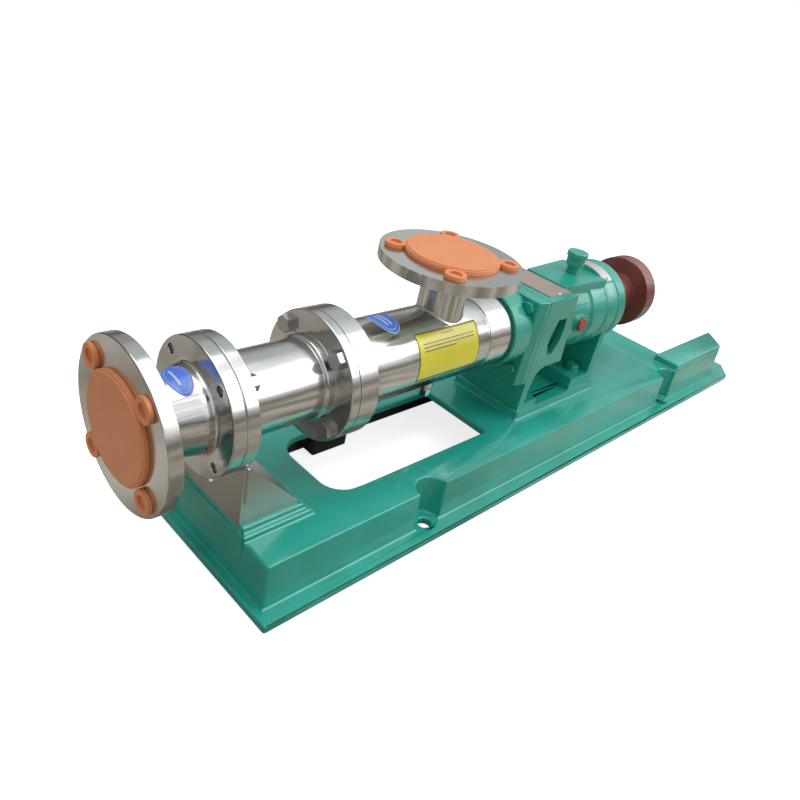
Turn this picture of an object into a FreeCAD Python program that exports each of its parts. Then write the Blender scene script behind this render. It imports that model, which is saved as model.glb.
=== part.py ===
import FreeCAD, Part
import math
import os
import Sketcher
from FreeCAD import Placement, Rotation, Vector

# Progressive cavity pump on a cast base.
# +X runs along the pump axis from the discharge end to the drive end, +Z is up.
# The origin is the centre of the four foundation holes, on the underside of the base.
# Millimetres throughout.

os.makedirs("parts", exist_ok=True)
doc = FreeCAD.newDocument("progressive_cavity_pump")

# Driving dimensions

SIZES = {
    # general
    "axis_height": 210,
    "running_gap": 0.3,
    "hole_play": 0.5,
    # base
    "bolt_span_x": 670,
    "bolt_span_y": 230,
    "foundation_hole": 18,
    "base_front": 607,
    "base_rear": 657,
    "base_width": 280,
    "rim_height": 12,
    "side_land": 21,
    "end_land": 11,
    "deck_height": 70,
    "deck_rear": 409,
    "deck_thickness": 12,
    "wall_draft": 3.5,
    "base_wall": 13,
    "seat_height": 84,
    "pocket_radius": 23,
    "pocket_wall": 9,
    "window_front": 454,
    "window_rear": 165,
    "window_width": 122,
    "window_corner": 34,
    "rail_front": 360,
    "rail_rear": 610,
    "rail_width": 58,
    "rail_bevel_x": 43,
    "rail_bevel_y": 44,
    "rib_thickness": 10,
    # discharge body
    "discharge_face": -695,
    "discharge_length": 91,
    "discharge_flange": 180,
    "discharge_circle": 145,
    "flange_hole": 18,
    "discharge_flange_width": 16,
    "discharge_neck": 76,
    "neck_flare": 95,
    "neck_land": 9,
    "discharge_bore": 66,
    "small_flange": 150,
    "small_flange_width": 16,
    "small_circle": 128,
    "small_bolt": 10,
    "stud_sink": 6,
    # stator
    "stator_length": 143,
    "stator_front_width": 16,
    "stator_rear_width": 13,
    "stator_tube": 95,
    "stator_wall": 4,
    "liner_lip": 104,
    "liner_lip_width": 3,
    "large_flange": 155,
    "large_circle": 130,
    "large_bolt": 12,
    # rotor and its pitch
    "rotor_diameter": 36,
    "eccentricity": 6,
    "rotor_pitch": 60,
    "rotor_front_overhang": 8,
    "rotor_rear_overhang": 20,
    "rotor_head": 38,
    "rotor_head_length": 46,
    "socket_bore": 26,
    "socket_depth": 34,
    "rod_head": 23.6,
    "rod_shank": 16,
    "rod_span": 190,
    "rod_head_reach": 13,
    "joint_pin": 10,
    "joint_pin_play": 1.0,
    "joint_pin_sink": 0.8,
    "joint_sleeve_wall": 2.5,
    "joint_sleeve_length": 22,
    # suction chamber
    "chamber_length": 326,
    "chamber_flange_width": 26,
    "barrel": 106,
    "barrel_wall": 4,
    "branch_offset": 195,
    "branch_face": 122,
    "branch_tube": 62,
    "branch_bore": 54,
    "branch_weld": 4,
    "suction_flange": 185,
    "suction_circle": 145,
    "suction_flange_width": 14,
    "drain_offset": 206,
    "drain_boss": 20,
    "drain_drop": 70,
    "drain_thread": 10,
    "drain_washer": 1.5,
    "seam_offset": 256,
    "chamber_ring_width": 12,
    # shaft seal
    "box_tube": 72,
    "box_flange_width": 8,
    "box_depth": 64,
    "packing_outer": 55,
    "packing_size": 10,
    "packing_count": 4,
    "lantern_width": 12,
    "gland_travel": 6,
    "gland_seat_gap": 0.2,
    "gland_flange_width": 7,
    "gland_circle": 76,
    "gland_stud": 8,
    "chamber_screw": 6,
    "chamber_screw_circle": 86,
    "o_ring": 3,
    # seal adapter
    "ring_outer": 116,
    "ring_lead": 28,
    "web_width": 10,
    "plate_width": 24,
    "plate_half": 55,
    "plate_flare": 5,
    "plate_top": 57,
    "plate_drop": 78,
    "plate_bevel": 14,
    "plate_recess": 100,
    "adapter_bolt_y": 82,
    "adapter_bolt_z": 99,
    "adapter_bolt_drop": 5.5,
    "adapter_bolt": 10,
    "head_notch": 9,
    # bearing pedestal
    "front_wall": 16,
    "cheek_half": 60,
    "cheek_wall": 9,
    "roof": 8,
    "lantern_rear": 68,
    "housing_front": 120,
    "housing_middle": 127,
    "housing_outer": 132,
    "housing_length": 149,
    "housing_collar": 136,
    "collar_length": 10,
    "first_step": 63,
    "second_step": 105,
    "step_length": 4,
    "block_half": 37,
    "block_rear_half": 43,
    "block_top": 60,
    "block_length": 99,
    "plate_seat_length": 10,
    "rear_foot_start": 140,
    "rear_foot_length": 64,
    "rear_foot_height": 21,
    "foot_half": 62,
    "front_foot_length": 34,
    "front_foot_height": 8,
    "foot_bolt": 12,
    "bolt_washer": 2.5,
    "plug_thread": 16,
    # bearings and covers
    "bearing_bore": 40,
    "bearing_outer": 90,
    "bearing_width": 23,
    "front_setback": 22,
    "nut_room": 11,
    "ball": 15,
    "ball_count": 8,
    "ball_play": 0.05,
    "cage_width": 19,
    "cover_width": 12,
    "front_cover_width": 8,
    "front_cover_half": 48,
    "cover_circle": 104,
    "cover_screw": 6,
    "lip_seal_outer": 62,
    "lip_seal_width": 8,
    "lip_play": 0.05,
    "spigot_play": 0.05,
    "nut_outer": 58,
    "lock_washer_width": 1.5,
    "lock_nut_width": 9,
    # drive shaft
    "packing_shaft": 35,
    "coupling_shaft": 32,
    "shaft_collar": 45,
    # coupling half
    "coupling_gap": 32,
    "coupling_hub": 68,
    "coupling_hub_length": 55,
    "coupling_disc": 122,
    "coupling_disc_width": 30,
    "jaw_outer": 88,
    "jaw_inner": 44,
    "jaw_length": 18,
    "key_width": 10,
    "key_height": 8,
    "key_length": 50,
    "set_screw": 8,
    "slinger_width": 8,
    # saddle support
    "saddle_plate": 5,
    "saddle_half": 60,
    "saddle_depth": 78,
    "saddle_overlap": 5,
    "saddle_screw": 10,
    # small parts
    "cup_offset": 138,
    "cup_thread": 10,
    "cup_neck": 20,
    "cup_bowl": 29,
    "discharge_cap_disc": 116,
    "suction_cap_disc": 122,
    "cap_thickness": 5,
    "cap_rim": 2.5,
    "cap_step": 1.6,
    "cap_floor": 1.5,
    "cap_ear": 13.5,
    "cap_hole": 15,
    "cap_spigot": 8,
    "cup_cap": 33,
    "nameplate_length": 96,
    "nameplate_width": 54,
    "name_strip_width": 24,
    "name_strip_length": 82,
    "name_strip_gap": 0.3,
    "nameplate_thickness": 1.2,
    "rivet": 3,
}

sheet = doc.addObject("Spreadsheet::Sheet", "Sizes")
for row, (alias, number) in enumerate(SIZES.items(), 1):
    sheet.set(f"A{row}", alias)
    sheet.set(f"B{row}", str(number))
    sheet.setAlias(f"B{row}", alias)
doc.recompute()


class Size:
    """A number together with the formula that gives it from the sheet."""

    def __init__(self, text, value):
        self.text = text
        self.value = value

    def __float__(self):
        return float(self.value)

    def __add__(self, other):
        other = size(other)
        return Size(f"({self.text} + {other.text})", self.value + other.value)

    def __sub__(self, other):
        other = size(other)
        return Size(f"({self.text} - {other.text})", self.value - other.value)

    def __mul__(self, other):
        other = size(other)
        return Size(f"({self.text} * {other.text})", self.value * other.value)

    def __truediv__(self, other):
        other = size(other)
        return Size(f"({self.text} / {other.text})", self.value / other.value)

    def __neg__(self):
        return Size(f"(0 - {self.text})", -self.value)

    __radd__ = __add__

    def __rsub__(self, other):
        return size(other) - self

    def __rmul__(self, other):
        return self * other


def size(given):
    """Turns a sheet alias or a plain number into a Size."""
    if isinstance(given, Size):
        return given
    if isinstance(given, str):
        return Size(f"Sizes.{given}", float(sheet.get(given)))
    return Size(repr(float(given)), float(given))


def S(alias):
    return size(alias)


DIAGONAL = math.sqrt(0.5)

# Stations along the axis, all counted from the driving dimensions

front_joint = S("discharge_face") + S("discharge_length")
rear_joint = front_joint + S("stator_length")
chamber_end = rear_joint + S("chamber_length")
box_back = chamber_end + S("box_flange_width")
adapter_face = box_back + S("web_width")
pedestal_face = adapter_face + S("plate_width")
housing_face = pedestal_face + S("lantern_rear")
housing_back = housing_face + S("housing_length")
cover_back = housing_back + S("cover_width")
hub_front = cover_back + S("coupling_gap")
disc_front = hub_front + S("coupling_hub_length")
coupling_back = disc_front + S("coupling_disc_width")
branch_x = rear_joint + S("branch_offset")
drain_x = rear_joint + S("drain_offset")
rotor_start = front_joint - S("rotor_front_overhang")
rotor_helix_end = rear_joint + S("rotor_rear_overhang")
rotor_head_end = rotor_helix_end + S("rotor_head_length")
rotor_joint_x = rotor_head_end - S("rod_head_reach") - 3
shaft_joint_x = rotor_joint_x + S("rod_span")
shaft_start = shaft_joint_x - S("rod_head_reach") - 3
box_front = box_back - S("box_depth")
front_bearing_x = housing_face + S("front_setback")
rear_bearing_x = housing_back - S("nut_room") - S("bearing_width")
saddle_face = front_joint + S("stator_front_width") - S("saddle_overlap")

# a hexagon head across its flats, and from its middle to a corner, for a thread of 1
HEAD_WIDTH = 1.6
HEAD_CORNER = HEAD_WIDTH / math.sqrt(3)


# Helpers

def origin_plane(body, role):
    return next(item for item in body.Origin.OriginFeatures if item.Role == role)


def new_body(name, x=0, y=0, z=0):
    """A body named after its piece, placed by formulas."""
    body = doc.addObject("PartDesign::Body", name)
    body.Label = name
    for axis, given in (("x", x), ("y", y), ("z", z)):
        place = size(given)
        if place.value != 0:
            body.setExpression(f"Placement.Base.{axis}", place.text)
    return body


def on_axis(name, x):
    return new_body(name, x, 0, S("axis_height"))


def new_sketch(body, role, offset=0):
    """A sketch on one of the body's own origin planes, lifted by an offset along its normal."""
    sketch = body.newObject("Sketcher::SketchObject", body.Name + "_sketch")
    sketch.AttachmentSupport = (origin_plane(body, role), [""])
    sketch.MapMode = "FlatFace"
    lift = size(offset)
    if lift.value != 0:
        sketch.setExpression("AttachmentOffset.Base.z", lift.text)
    return sketch


def hold(sketch, kind, geometry, point, given):
    """Holds one coordinate of a sketch point by its formula."""
    given = size(given)
    if point is None:
        index = sketch.addConstraint(Sketcher.Constraint(kind, geometry, given.value))
    else:
        index = sketch.addConstraint(Sketcher.Constraint(kind, geometry, point, given.value))
    if "Sizes." in given.text:
        sketch.setExpression(f"Constraints[{index}]", given.text)


def outline(sketch, points):
    """A closed run of straight lines through the given points."""
    points = [(size(u), size(v)) for u, v in points]
    first = sketch.GeometryCount
    count = len(points)
    for index in range(count):
        start = points[index]
        end = points[(index + 1) % count]
        line = Part.LineSegment(Vector(start[0].value, start[1].value, 0),
                                Vector(end[0].value, end[1].value, 0))
        sketch.addGeometry(line, False)
    for index in range(count):
        following = first + (index + 1) % count
        sketch.addConstraint(Sketcher.Constraint("Coincident", first + index, 2, following, 1))
    for index, (u, v) in enumerate(points):
        hold(sketch, "DistanceX", first + index, 1, u)
        hold(sketch, "DistanceY", first + index, 1, v)


def rectangle(sketch, u0, v0, u1, v1):
    outline(sketch, [(u0, v0), (u1, v0), (u1, v1), (u0, v1)])


def circle(sketch, u, v, radius):
    u, v, radius = size(u), size(v), size(radius)
    index = sketch.GeometryCount
    sketch.addGeometry(Part.Circle(Vector(u.value, v.value, 0), Vector(0, 0, 1), radius.value), False)
    hold(sketch, "DistanceX", index, 3, u)
    hold(sketch, "DistanceY", index, 3, v)
    hold(sketch, "Radius", index, None, radius)


def four_circles(sketch, u, v, radius):
    for across in (-1, 1):
        for along in (-1, 1):
            circle(sketch, across * u, along * v, radius)


def pad(body, sketch, length, midplane=False, reverse=False, taper=0):
    feature = body.newObject("PartDesign::Pad", body.Name + "_pad")
    feature.Profile = sketch
    feature.setExpression("Length", size(length).text)
    feature.Midplane = midplane
    feature.Reversed = reverse
    if size(taper).value != 0:
        feature.setExpression("TaperAngle", size(taper).text)
    return feature


def pocket(body, sketch, length=None, midplane=False, reverse=False):
    """A cut; with no length it goes through everything, both ways."""
    feature = body.newObject("PartDesign::Pocket", body.Name + "_pocket")
    feature.Profile = sketch
    if length is None:
        feature.Type = "ThroughAll"
        feature.Midplane = True
    else:
        feature.setExpression("Length", size(length).text)
        feature.Midplane = midplane
        feature.Reversed = reverse
    return feature


def around(body, feature, role, count):
    """Repeats a feature evenly about one of the body's own axes."""
    pattern = body.newObject("PartDesign::PolarPattern", body.Name + "_pattern")
    pattern.Originals = [feature]
    pattern.Axis = (origin_plane(body, role), [""])
    pattern.Angle = 360
    pattern.Occurrences = count
    body.Tip = pattern
    return pattern


def turned(body, points, role="XZ_Plane", axis="H_Axis", cut=False, offset=0):
    """A profile turned about its own horizontal or vertical axis."""
    sketch = new_sketch(body, role, offset)
    outline(sketch, points)
    kind = "PartDesign::Groove" if cut else "PartDesign::Revolution"
    feature = body.newObject(kind, body.Name + "_turned")
    feature.Profile = sketch
    feature.ReferenceAxis = (sketch, [axis])
    feature.Angle = 360
    return feature


def ring(body, start, end, inner, outer):
    """A plain ring or, with no inner radius, a disc about the body's X axis."""
    return turned(body, [(start, inner), (end, inner), (end, outer), (start, outer)])


def edges_where(shape, test):
    """Names of the edges that pass a test on their centre, radius and box."""
    return [f"Edge{index}" for index, edge in enumerate(shape.Edges, 1) if test(edge)]


def rounded(body, test, radius, kind="PartDesign::Fillet"):
    """Fillets or chamfers the edges of the body's last feature that pass the test."""
    doc.recompute()
    base = body.Tip
    names = edges_where(base.Shape, test)
    if not names:
        raise ValueError("no edge found on " + body.Name)
    feature = body.newObject(kind, body.Name + "_edge")
    feature.Base = (base, names)
    if kind == "PartDesign::Fillet":
        feature.setExpression("Radius", size(radius).text)
    else:
        feature.setExpression("Size", size(radius).text)
    return feature


def solid_group(name, shapes):
    """Equal small pieces kept as separate solids under one name."""
    node = doc.addObject("Part::Feature", name)
    node.Label = name
    node.Shape = Part.Compound(shapes)
    node.Placement = Placement(Vector(0, 0, float(S("axis_height"))), Rotation())
    return node


def hexagon(across_flats, height):
    """A hexagonal prism along +X, one flat facing +Z."""
    radius = across_flats / math.sqrt(3)
    corners = []
    for step in range(7):
        angle = math.radians(60 * step)
        corners.append(Vector(0, radius * math.cos(angle), radius * math.sin(angle)))
    return Part.Face(Part.makePolygon(corners)).extrude(Vector(height, 0, 0))


def bar(diameter, length, start=0.0):
    """A round bar along +X from a start."""
    return Part.makeCylinder(diameter / 2, length, Vector(start, 0, 0), Vector(1, 0, 0))


def crowned(head, diameter, height):
    """Turns the corners off a hexagon's outer end, which faces -X."""
    cone = Part.makeCone(diameter * 0.86, diameter * 0.86 + height, height, Vector(0, 0, 0), Vector(1, 0, 0))
    return head.common(cone)


def hex_bolt(diameter, shank):
    """Its seat is at x = 0, the head on the -X side and the shank on the +X side."""
    head_height = 0.65 * diameter
    head = crowned(hexagon(HEAD_WIDTH * diameter, head_height), diameter, head_height)
    head.translate(Vector(-head_height, 0, 0))
    return head.fuse(bar(diameter, shank)).removeSplitter()


def socket_screw(diameter, shank):
    head = bar(1.5 * diameter, diameter, -diameter)
    socket = hexagon(0.8 * diameter, 0.5 * diameter)
    socket.translate(Vector(-diameter, 0, 0))
    return head.cut(socket).fuse(bar(diameter, shank)).removeSplitter()


def hex_nut(diameter, bore_play):
    """Its seat is at x = 0 and it stands out along +X, with its bore clear of the stud by the play."""
    height = 0.8 * diameter
    nut = hexagon(HEAD_WIDTH * diameter, height)
    return nut.cut(bar(diameter + 2 * bore_play, height))


def on_circle(shape, x, radius, count, first_angle, flat_out=True):
    """Copies of a shape at a station, spread on a circle about the X axis."""
    copies = []
    for step in range(count):
        angle = first_angle + 360.0 * step / count
        copy = shape.copy()
        if flat_out:
            copy.rotate(Vector(0, 0, 0), Vector(1, 0, 0), angle - 90)
        turn = math.radians(angle)
        copy.translate(Vector(x, radius * math.cos(turn), radius * math.sin(turn)))
        copies.append(copy)
    return copies


# Base and support

def make_base():
    """One hollow casting: rim, drafted box, deck, seats, side pockets, window and the motor rail."""
    base = new_body("base_plate")
    half = S("base_width") / 2
    box_half = half - S("side_land")
    box_front = -S("base_front") + S("end_land")
    rail_outer = -box_half
    rail_inner = rail_outer + S("rail_width")
    rail_rim = rail_inner + S("side_land")
    deck_rim = S("deck_rear") + S("side_land")
    corner_x = S("base_rear") - S("rail_bevel_x")
    corner_y = -half + S("rail_bevel_y") * 0.7

    rim = new_sketch(base, "XY_Plane")
    outline(rim, [(-S("base_front"), -half), (corner_x, -half), (S("base_rear"), corner_y),
                  (S("base_rear"), rail_rim), (deck_rim, rail_rim), (deck_rim, half),
                  (-S("base_front"), half)])
    pad(base, rim, S("rim_height"))

    box = new_sketch(base, "XY_Plane", S("rim_height"))
    rail_end = S("rail_rear")
    outline(box, [(box_front, rail_outer), (rail_end - S("rail_bevel_x"), rail_outer),
                  (rail_end, rail_outer + S("rail_bevel_y")), (rail_end, rail_inner),
                  (S("deck_rear"), rail_inner), (S("deck_rear"), box_half),
                  (box_front, box_half)])
    pad(base, box, S("deck_height") - S("rim_height"), taper=-S("wall_draft"))

    # the raised seats: saddle, pedestal and rail
    lean = 4
    steps = new_sketch(base, "XY_Plane", S("rim_height"))
    rectangle(steps, box_front + 2, -S("saddle_half") - 12, saddle_face + S("saddle_depth") + 16,
              S("saddle_half") + 12)
    pad(base, steps, (S("deck_height") + S("seat_height")) / 2 - S("rim_height"))
    saddle_seat = new_sketch(base, "XY_Plane", S("rim_height"))
    rectangle(saddle_seat, box_front + lean, -S("saddle_half") - 5, saddle_face + S("saddle_depth") + 8,
              S("saddle_half") + 5)
    pad(base, saddle_seat, S("seat_height") - S("rim_height"))
    pedestal_seat = new_sketch(base, "XY_Plane", S("deck_height") - S("deck_thickness"))
    rectangle(pedestal_seat, pedestal_face - 5, -S("foot_half") - 3,
              pedestal_face + S("rear_foot_start") + S("rear_foot_length") + 12, S("foot_half") + 3)
    pad(base, pedestal_seat, S("seat_height") - S("deck_height") + S("deck_thickness"))
    rail_seat = new_sketch(base, "XY_Plane", S("deck_height") - S("deck_thickness"))
    outline(rail_seat, [(S("rail_front"), rail_outer + lean),
                        (rail_end - lean - S("rail_bevel_x"), rail_outer + lean),
                        (rail_end - lean, rail_outer + lean + S("rail_bevel_y")),
                        (rail_end - lean, rail_inner - lean),
                        (S("rail_front"), rail_inner - lean)])
    pad(base, rail_seat, S("seat_height") - S("deck_height") + S("deck_thickness"))

    # the hollow underneath leaves a block of metal round each side pocket
    wall = S("base_wall")
    inner = box_half - wall
    hole_x = S("bolt_span_x") / 2
    reach = S("pocket_radius") + S("pocket_wall")
    notch = S("bolt_span_y") / 2 - reach
    hollow = new_sketch(base, "XY_Plane")
    outline(hollow, [(box_front + wall, -inner), (-hole_x - reach, -inner), (-hole_x - reach, -notch),
                     (-hole_x + reach, -notch), (-hole_x + reach, -inner), (hole_x - reach, -inner),
                     (hole_x - reach, -notch), (hole_x + reach, -notch), (hole_x + reach, -inner),
                     (rail_end - S("rail_bevel_x") - 4, -inner), (rail_end - wall - 6, rail_inner - wall),
                     (S("deck_rear") - wall, rail_inner - wall),
                     (S("deck_rear") - wall, inner), (hole_x + reach, inner), (hole_x + reach, notch),
                     (hole_x - reach, notch), (hole_x - reach, inner), (-hole_x + reach, inner),
                     (-hole_x + reach, notch), (-hole_x - reach, notch), (-hole_x - reach, inner),
                     (box_front + wall, inner)])
    pocket(base, hollow, S("deck_height") - S("deck_thickness"), reverse=True)

    # cross ribs under the deck carry the pedestal and the rear of the saddle
    for place in (saddle_face + S("saddle_depth") + 8, pedestal_face + 4,
                  pedestal_face + S("rear_foot_start") + S("rear_foot_length") / 2):
        rib = new_sketch(base, "XY_Plane", S("rim_height"))
        rectangle(rib, place, -inner - 1, place + S("rib_thickness"), inner + 1)
        pad(base, rib, S("deck_height") - S("rim_height") - 2)

    # window in the deck
    window = new_sketch(base, "XY_Plane", S("rim_height") + 1)
    rectangle(window, -S("window_front"), -S("window_width") / 2, -S("window_rear"), S("window_width") / 2)
    pocket(base, window, S("deck_height"), reverse=True)
    front_x = -float(S("window_front"))

    def window_corner(edge):
        middle = edge.CenterOfMass
        upright = edge.BoundBox.ZLength > 5 and edge.BoundBox.XLength < 0.1 and edge.BoundBox.YLength < 0.1
        return upright and abs(middle.x - front_x) < 0.1 and middle.z > float(S("deck_height")) - 13

    rounded(base, window_corner, S("window_corner"))

    # side pockets and foundation holes
    for side in (-1, 1):
        for end in (-1, 1):
            recess = new_sketch(base, "XY_Plane", S("rim_height"))
            circle(recess, end * hole_x, side * (S("bolt_span_y") / 2), S("pocket_radius"))
            pocket(base, recess, S("seat_height"), reverse=True)
    holes = new_sketch(base, "XY_Plane")
    for side in (-1, 1):
        for end in (-1, 1):
            circle(holes, end * hole_x, side * (S("bolt_span_y") / 2), S("foundation_hole") / 2)
    pocket(base, holes)

    # tapped holes for the saddle screws and the pedestal bolts
    taps = new_sketch(base, "XY_Plane")
    for x, y, radius in saddle_screw_places() + foot_bolt_places():
        circle(taps, x, y, radius)
    pocket(base, taps)

    # the rim's top edges lose their corners
    side = float(half)
    front_end = float(S("base_front"))
    rim_top = float(S("rim_height"))

    def rim_edge(edge):
        box = edge.BoundBox
        middle = edge.CenterOfMass
        outer = abs(abs(middle.y) - side) < 0.6 or abs(middle.x + front_end) < 0.6
        return box.ZLength < 0.01 and outer and abs(box.ZMin - rim_top) < 0.01

    rounded(base, rim_edge, 3)


def saddle_screw_places():
    """Each screw's x, y and thread radius on the saddle's foot plate."""
    x = saddle_face + S("saddle_depth") / 2 + 6
    return [(x, side * (S("saddle_half") * 0.55), S("saddle_screw") / 2) for side in (-1, 1)]


def foot_bolt_places():
    """Each pedestal bolt's x, y and thread radius."""
    front = pedestal_face + S("front_wall") + S("front_foot_length") / 2
    rear = pedestal_face + S("rear_foot_start") + S("rear_foot_length") * 0.55
    places = []
    for x in (front, rear):
        for side in (-1, 1):
            places.append((x, side * (S("foot_half") * 0.62), S("foot_bolt") / 2))
    return places


def make_saddle():
    """Stainless support: a plate whose vee carries the stator's front flange, two gussets and a foot."""
    saddle = new_body("support_saddle", saddle_face, 0, S("seat_height"))
    half = S("saddle_half")
    plate = S("saddle_plate")
    vee_floor = S("axis_height") - S("seat_height") - S("small_flange") / 2 * math.sqrt(2)
    height = vee_floor + half
    front = new_sketch(saddle, "YZ_Plane")
    outline(front, [(-half, 0), (half, 0), (half, height), (0, vee_floor), (-half, height)])
    pad(saddle, front, plate)
    for offset in (half - plate, -half):
        gusset = new_sketch(saddle, "XZ_Plane", offset)
        outline(gusset, [(plate, 0), (S("saddle_depth"), 0), (S("saddle_depth"), 6), (plate, height - 1)])
        pad(saddle, gusset, plate)
    foot = new_sketch(saddle, "XY_Plane")
    rectangle(foot, 0, -half, S("saddle_depth"), half)
    pad(saddle, foot, plate)
    holes = new_sketch(saddle, "XY_Plane")
    for x, y, radius in saddle_screw_places():
        circle(holes, x - saddle_face, y, radius + S("hole_play"))
    pocket(saddle, holes, plate, reverse=True)


def upright(shape):
    """Turns a fastener that points along +X so that it points down."""
    turned_copy = shape.copy()
    turned_copy.rotate(Vector(0, 0, 0), Vector(0, 1, 0), 90)
    return turned_copy


def standing_group(name, shape, places, seat):
    """Copies of an upright fastener at plan places, seated at a height."""
    copies = []
    for x, y, _ in places:
        copy = upright(shape)
        copy.translate(Vector(float(x), float(y), seat - float(S("axis_height"))))
        copies.append(copy)
    return solid_group(name, copies)


def make_saddle_screws():
    seat = float(S("seat_height") + S("saddle_plate"))
    standing_group("saddle_screws", hex_bolt(float(S("saddle_screw")), 18), saddle_screw_places(), seat)


# Pressure parts

def make_discharge_body():
    body = on_axis("discharge_body", S("discharge_face"))
    length = S("discharge_length")
    bore = S("discharge_bore") / 2
    neck = S("discharge_neck") / 2
    wide = S("neck_flare") / 2
    wide_bore = wide - neck + bore
    outer = S("discharge_flange") / 2
    small = S("small_flange") / 2
    joint_face = length - S("small_flange_width")
    cone_start = S("discharge_flange_width") + S("neck_land")
    cone_end = joint_face - S("neck_land")
    turned(body, [(0, bore), (cone_start, bore), (cone_end, wide_bore), (length, wide_bore), (length, small),
                  (joint_face, small), (joint_face, wide), (cone_end, wide), (cone_start, neck),
                  (S("discharge_flange_width"), neck), (S("discharge_flange_width"), outer), (0, outer)])
    welds = (float(neck), float(wide))
    faces = (float(S("discharge_flange_width")), float(joint_face))
    rounded(body, lambda edge: isinstance(edge.Curve, Part.Circle)
            and min(abs(edge.Curve.Radius - value) for value in welds) < 0.01
            and min(abs(edge.CenterOfMass.x - value) for value in faces) < 0.01, 4)
    flange_holes(body, S("discharge_circle"), S("flange_hole") / 2, S("discharge_flange_width"), 0)
    screw_holes = new_sketch(body, "YZ_Plane", joint_face)
    place = S("small_circle") / 2 * DIAGONAL
    circle(screw_holes, place, place, S("small_bolt") / 2 + S("hole_play"))
    around(body, pocket(body, screw_holes, S("small_flange_width"), reverse=True), "X_Axis", 4)
    outer_edges = (float(outer), float(small))
    rounded(body, lambda edge: isinstance(edge.Curve, Part.Circle)
            and min(abs(edge.Curve.Radius - value) for value in outer_edges) < 0.01
            and edge.Length > 100, 1, "PartDesign::Chamfer")


def flange_holes(body, pitch_circle, radius, depth, start):
    """Four holes on the diagonals of a flange that faces along X."""
    sketch = new_sketch(body, "YZ_Plane", start)
    place = pitch_circle / 2 * DIAGONAL
    circle(sketch, place, place, radius)
    return around(body, pocket(body, sketch, depth, reverse=True), "X_Axis", 4)


def make_stator_tube():
    tube = on_axis("stator_tube", front_joint)
    length = S("stator_length")
    outer = S("stator_tube") / 2
    inner = outer - S("stator_wall")
    lip = S("liner_lip") / 2
    lip_width = S("liner_lip_width")
    front = S("stator_front_width")
    rear = length - S("stator_rear_width")
    small = S("small_flange") / 2
    large = S("large_flange") / 2
    collar = outer + 3
    turned(tube, [(0, lip), (lip_width, lip), (lip_width, inner), (length - lip_width, inner),
                  (length - lip_width, lip), (length, lip), (length, large), (rear, large), (rear, collar),
                  (rear - 10, collar), (rear - 13, outer), (front, outer), (front, small), (0, small)])
    flange_holes(tube, S("small_circle"), S("small_bolt") / 2 + S("hole_play"), front, 0)
    flange_holes(tube, S("large_circle"), S("large_bolt") / 2 + S("hole_play"), S("stator_rear_width"), rear)
    rounded(tube, lambda edge: isinstance(edge.Curve, Part.Circle)
            and min(abs(edge.Curve.Radius - float(value)) for value in (small, large)) < 0.01
            and edge.Length > 100, 1, "PartDesign::Chamfer")


def make_stator_liner():
    """Moulded rubber with the two-start screw cavity, and a sealing lip at each end."""
    liner = on_axis("stator_liner", front_joint)
    length = S("stator_length")
    outer = S("stator_tube") / 2 - S("stator_wall")
    lip = S("liner_lip") / 2
    lip_width = S("liner_lip_width")
    turned(liner, [(0, 0), (length, 0), (length, lip), (length - lip_width, lip),
                   (length - lip_width, outer), (lip_width, outer), (lip_width, lip), (0, lip)])
    past = 2
    slot = new_sketch(liner, "YZ_Plane", -past)
    radius = S("rotor_diameter") / 2 + S("running_gap")
    reach = S("eccentricity") * 2
    slot_outline(slot, reach, radius)
    start_turn = -360.0 * past / float(S("rotor_pitch") * 2)
    slot.AttachmentOffset = Placement(Vector(0, 0, -past), Rotation(Vector(0, 0, 1), start_turn))
    cavity = liner.newObject("PartDesign::SubtractiveHelix", "stator_cavity")
    cavity.Profile = slot
    cavity.ReferenceAxis = (origin_plane(liner, "X_Axis"), [""])
    cavity.Mode = "pitch-height-angle"
    cavity.setExpression("Pitch", (S("rotor_pitch") * 2).text)
    cavity.setExpression("Height", (length + 2 * past).text)


def slot_outline(sketch, reach, radius):
    """A slot along the sketch's own horizontal: two half rounds joined by straight sides."""
    reach, radius = size(reach), size(radius)
    far, near = Vector(reach.value, 0, 0), Vector(-reach.value, 0, 0)
    up = Vector(0, 0, 1)
    right_arc = Part.ArcOfCircle(Part.Circle(far, up, radius.value), -math.pi / 2, math.pi / 2)
    left_arc = Part.ArcOfCircle(Part.Circle(near, up, radius.value), math.pi / 2, 1.5 * math.pi)
    sketch.addGeometry(right_arc, False)
    sketch.addGeometry(left_arc, False)
    sketch.addGeometry(Part.LineSegment(Vector(reach.value, radius.value, 0),
                                        Vector(-reach.value, radius.value, 0)), False)
    sketch.addGeometry(Part.LineSegment(Vector(-reach.value, -radius.value, 0),
                                        Vector(reach.value, -radius.value, 0)), False)
    for joint in ((0, 2, 2, 1), (2, 2, 1, 1), (1, 2, 3, 1), (3, 2, 0, 1)):
        sketch.addConstraint(Sketcher.Constraint("Tangent", *joint))
    sketch.addConstraint(Sketcher.Constraint("Equal", 0, 1))
    hold(sketch, "DistanceX", 0, 3, reach)
    hold(sketch, "DistanceY", 0, 3, 0)
    hold(sketch, "DistanceX", 1, 3, -reach)
    hold(sketch, "DistanceY", 1, 3, 0)
    hold(sketch, "Radius", 0, None, radius)


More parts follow.
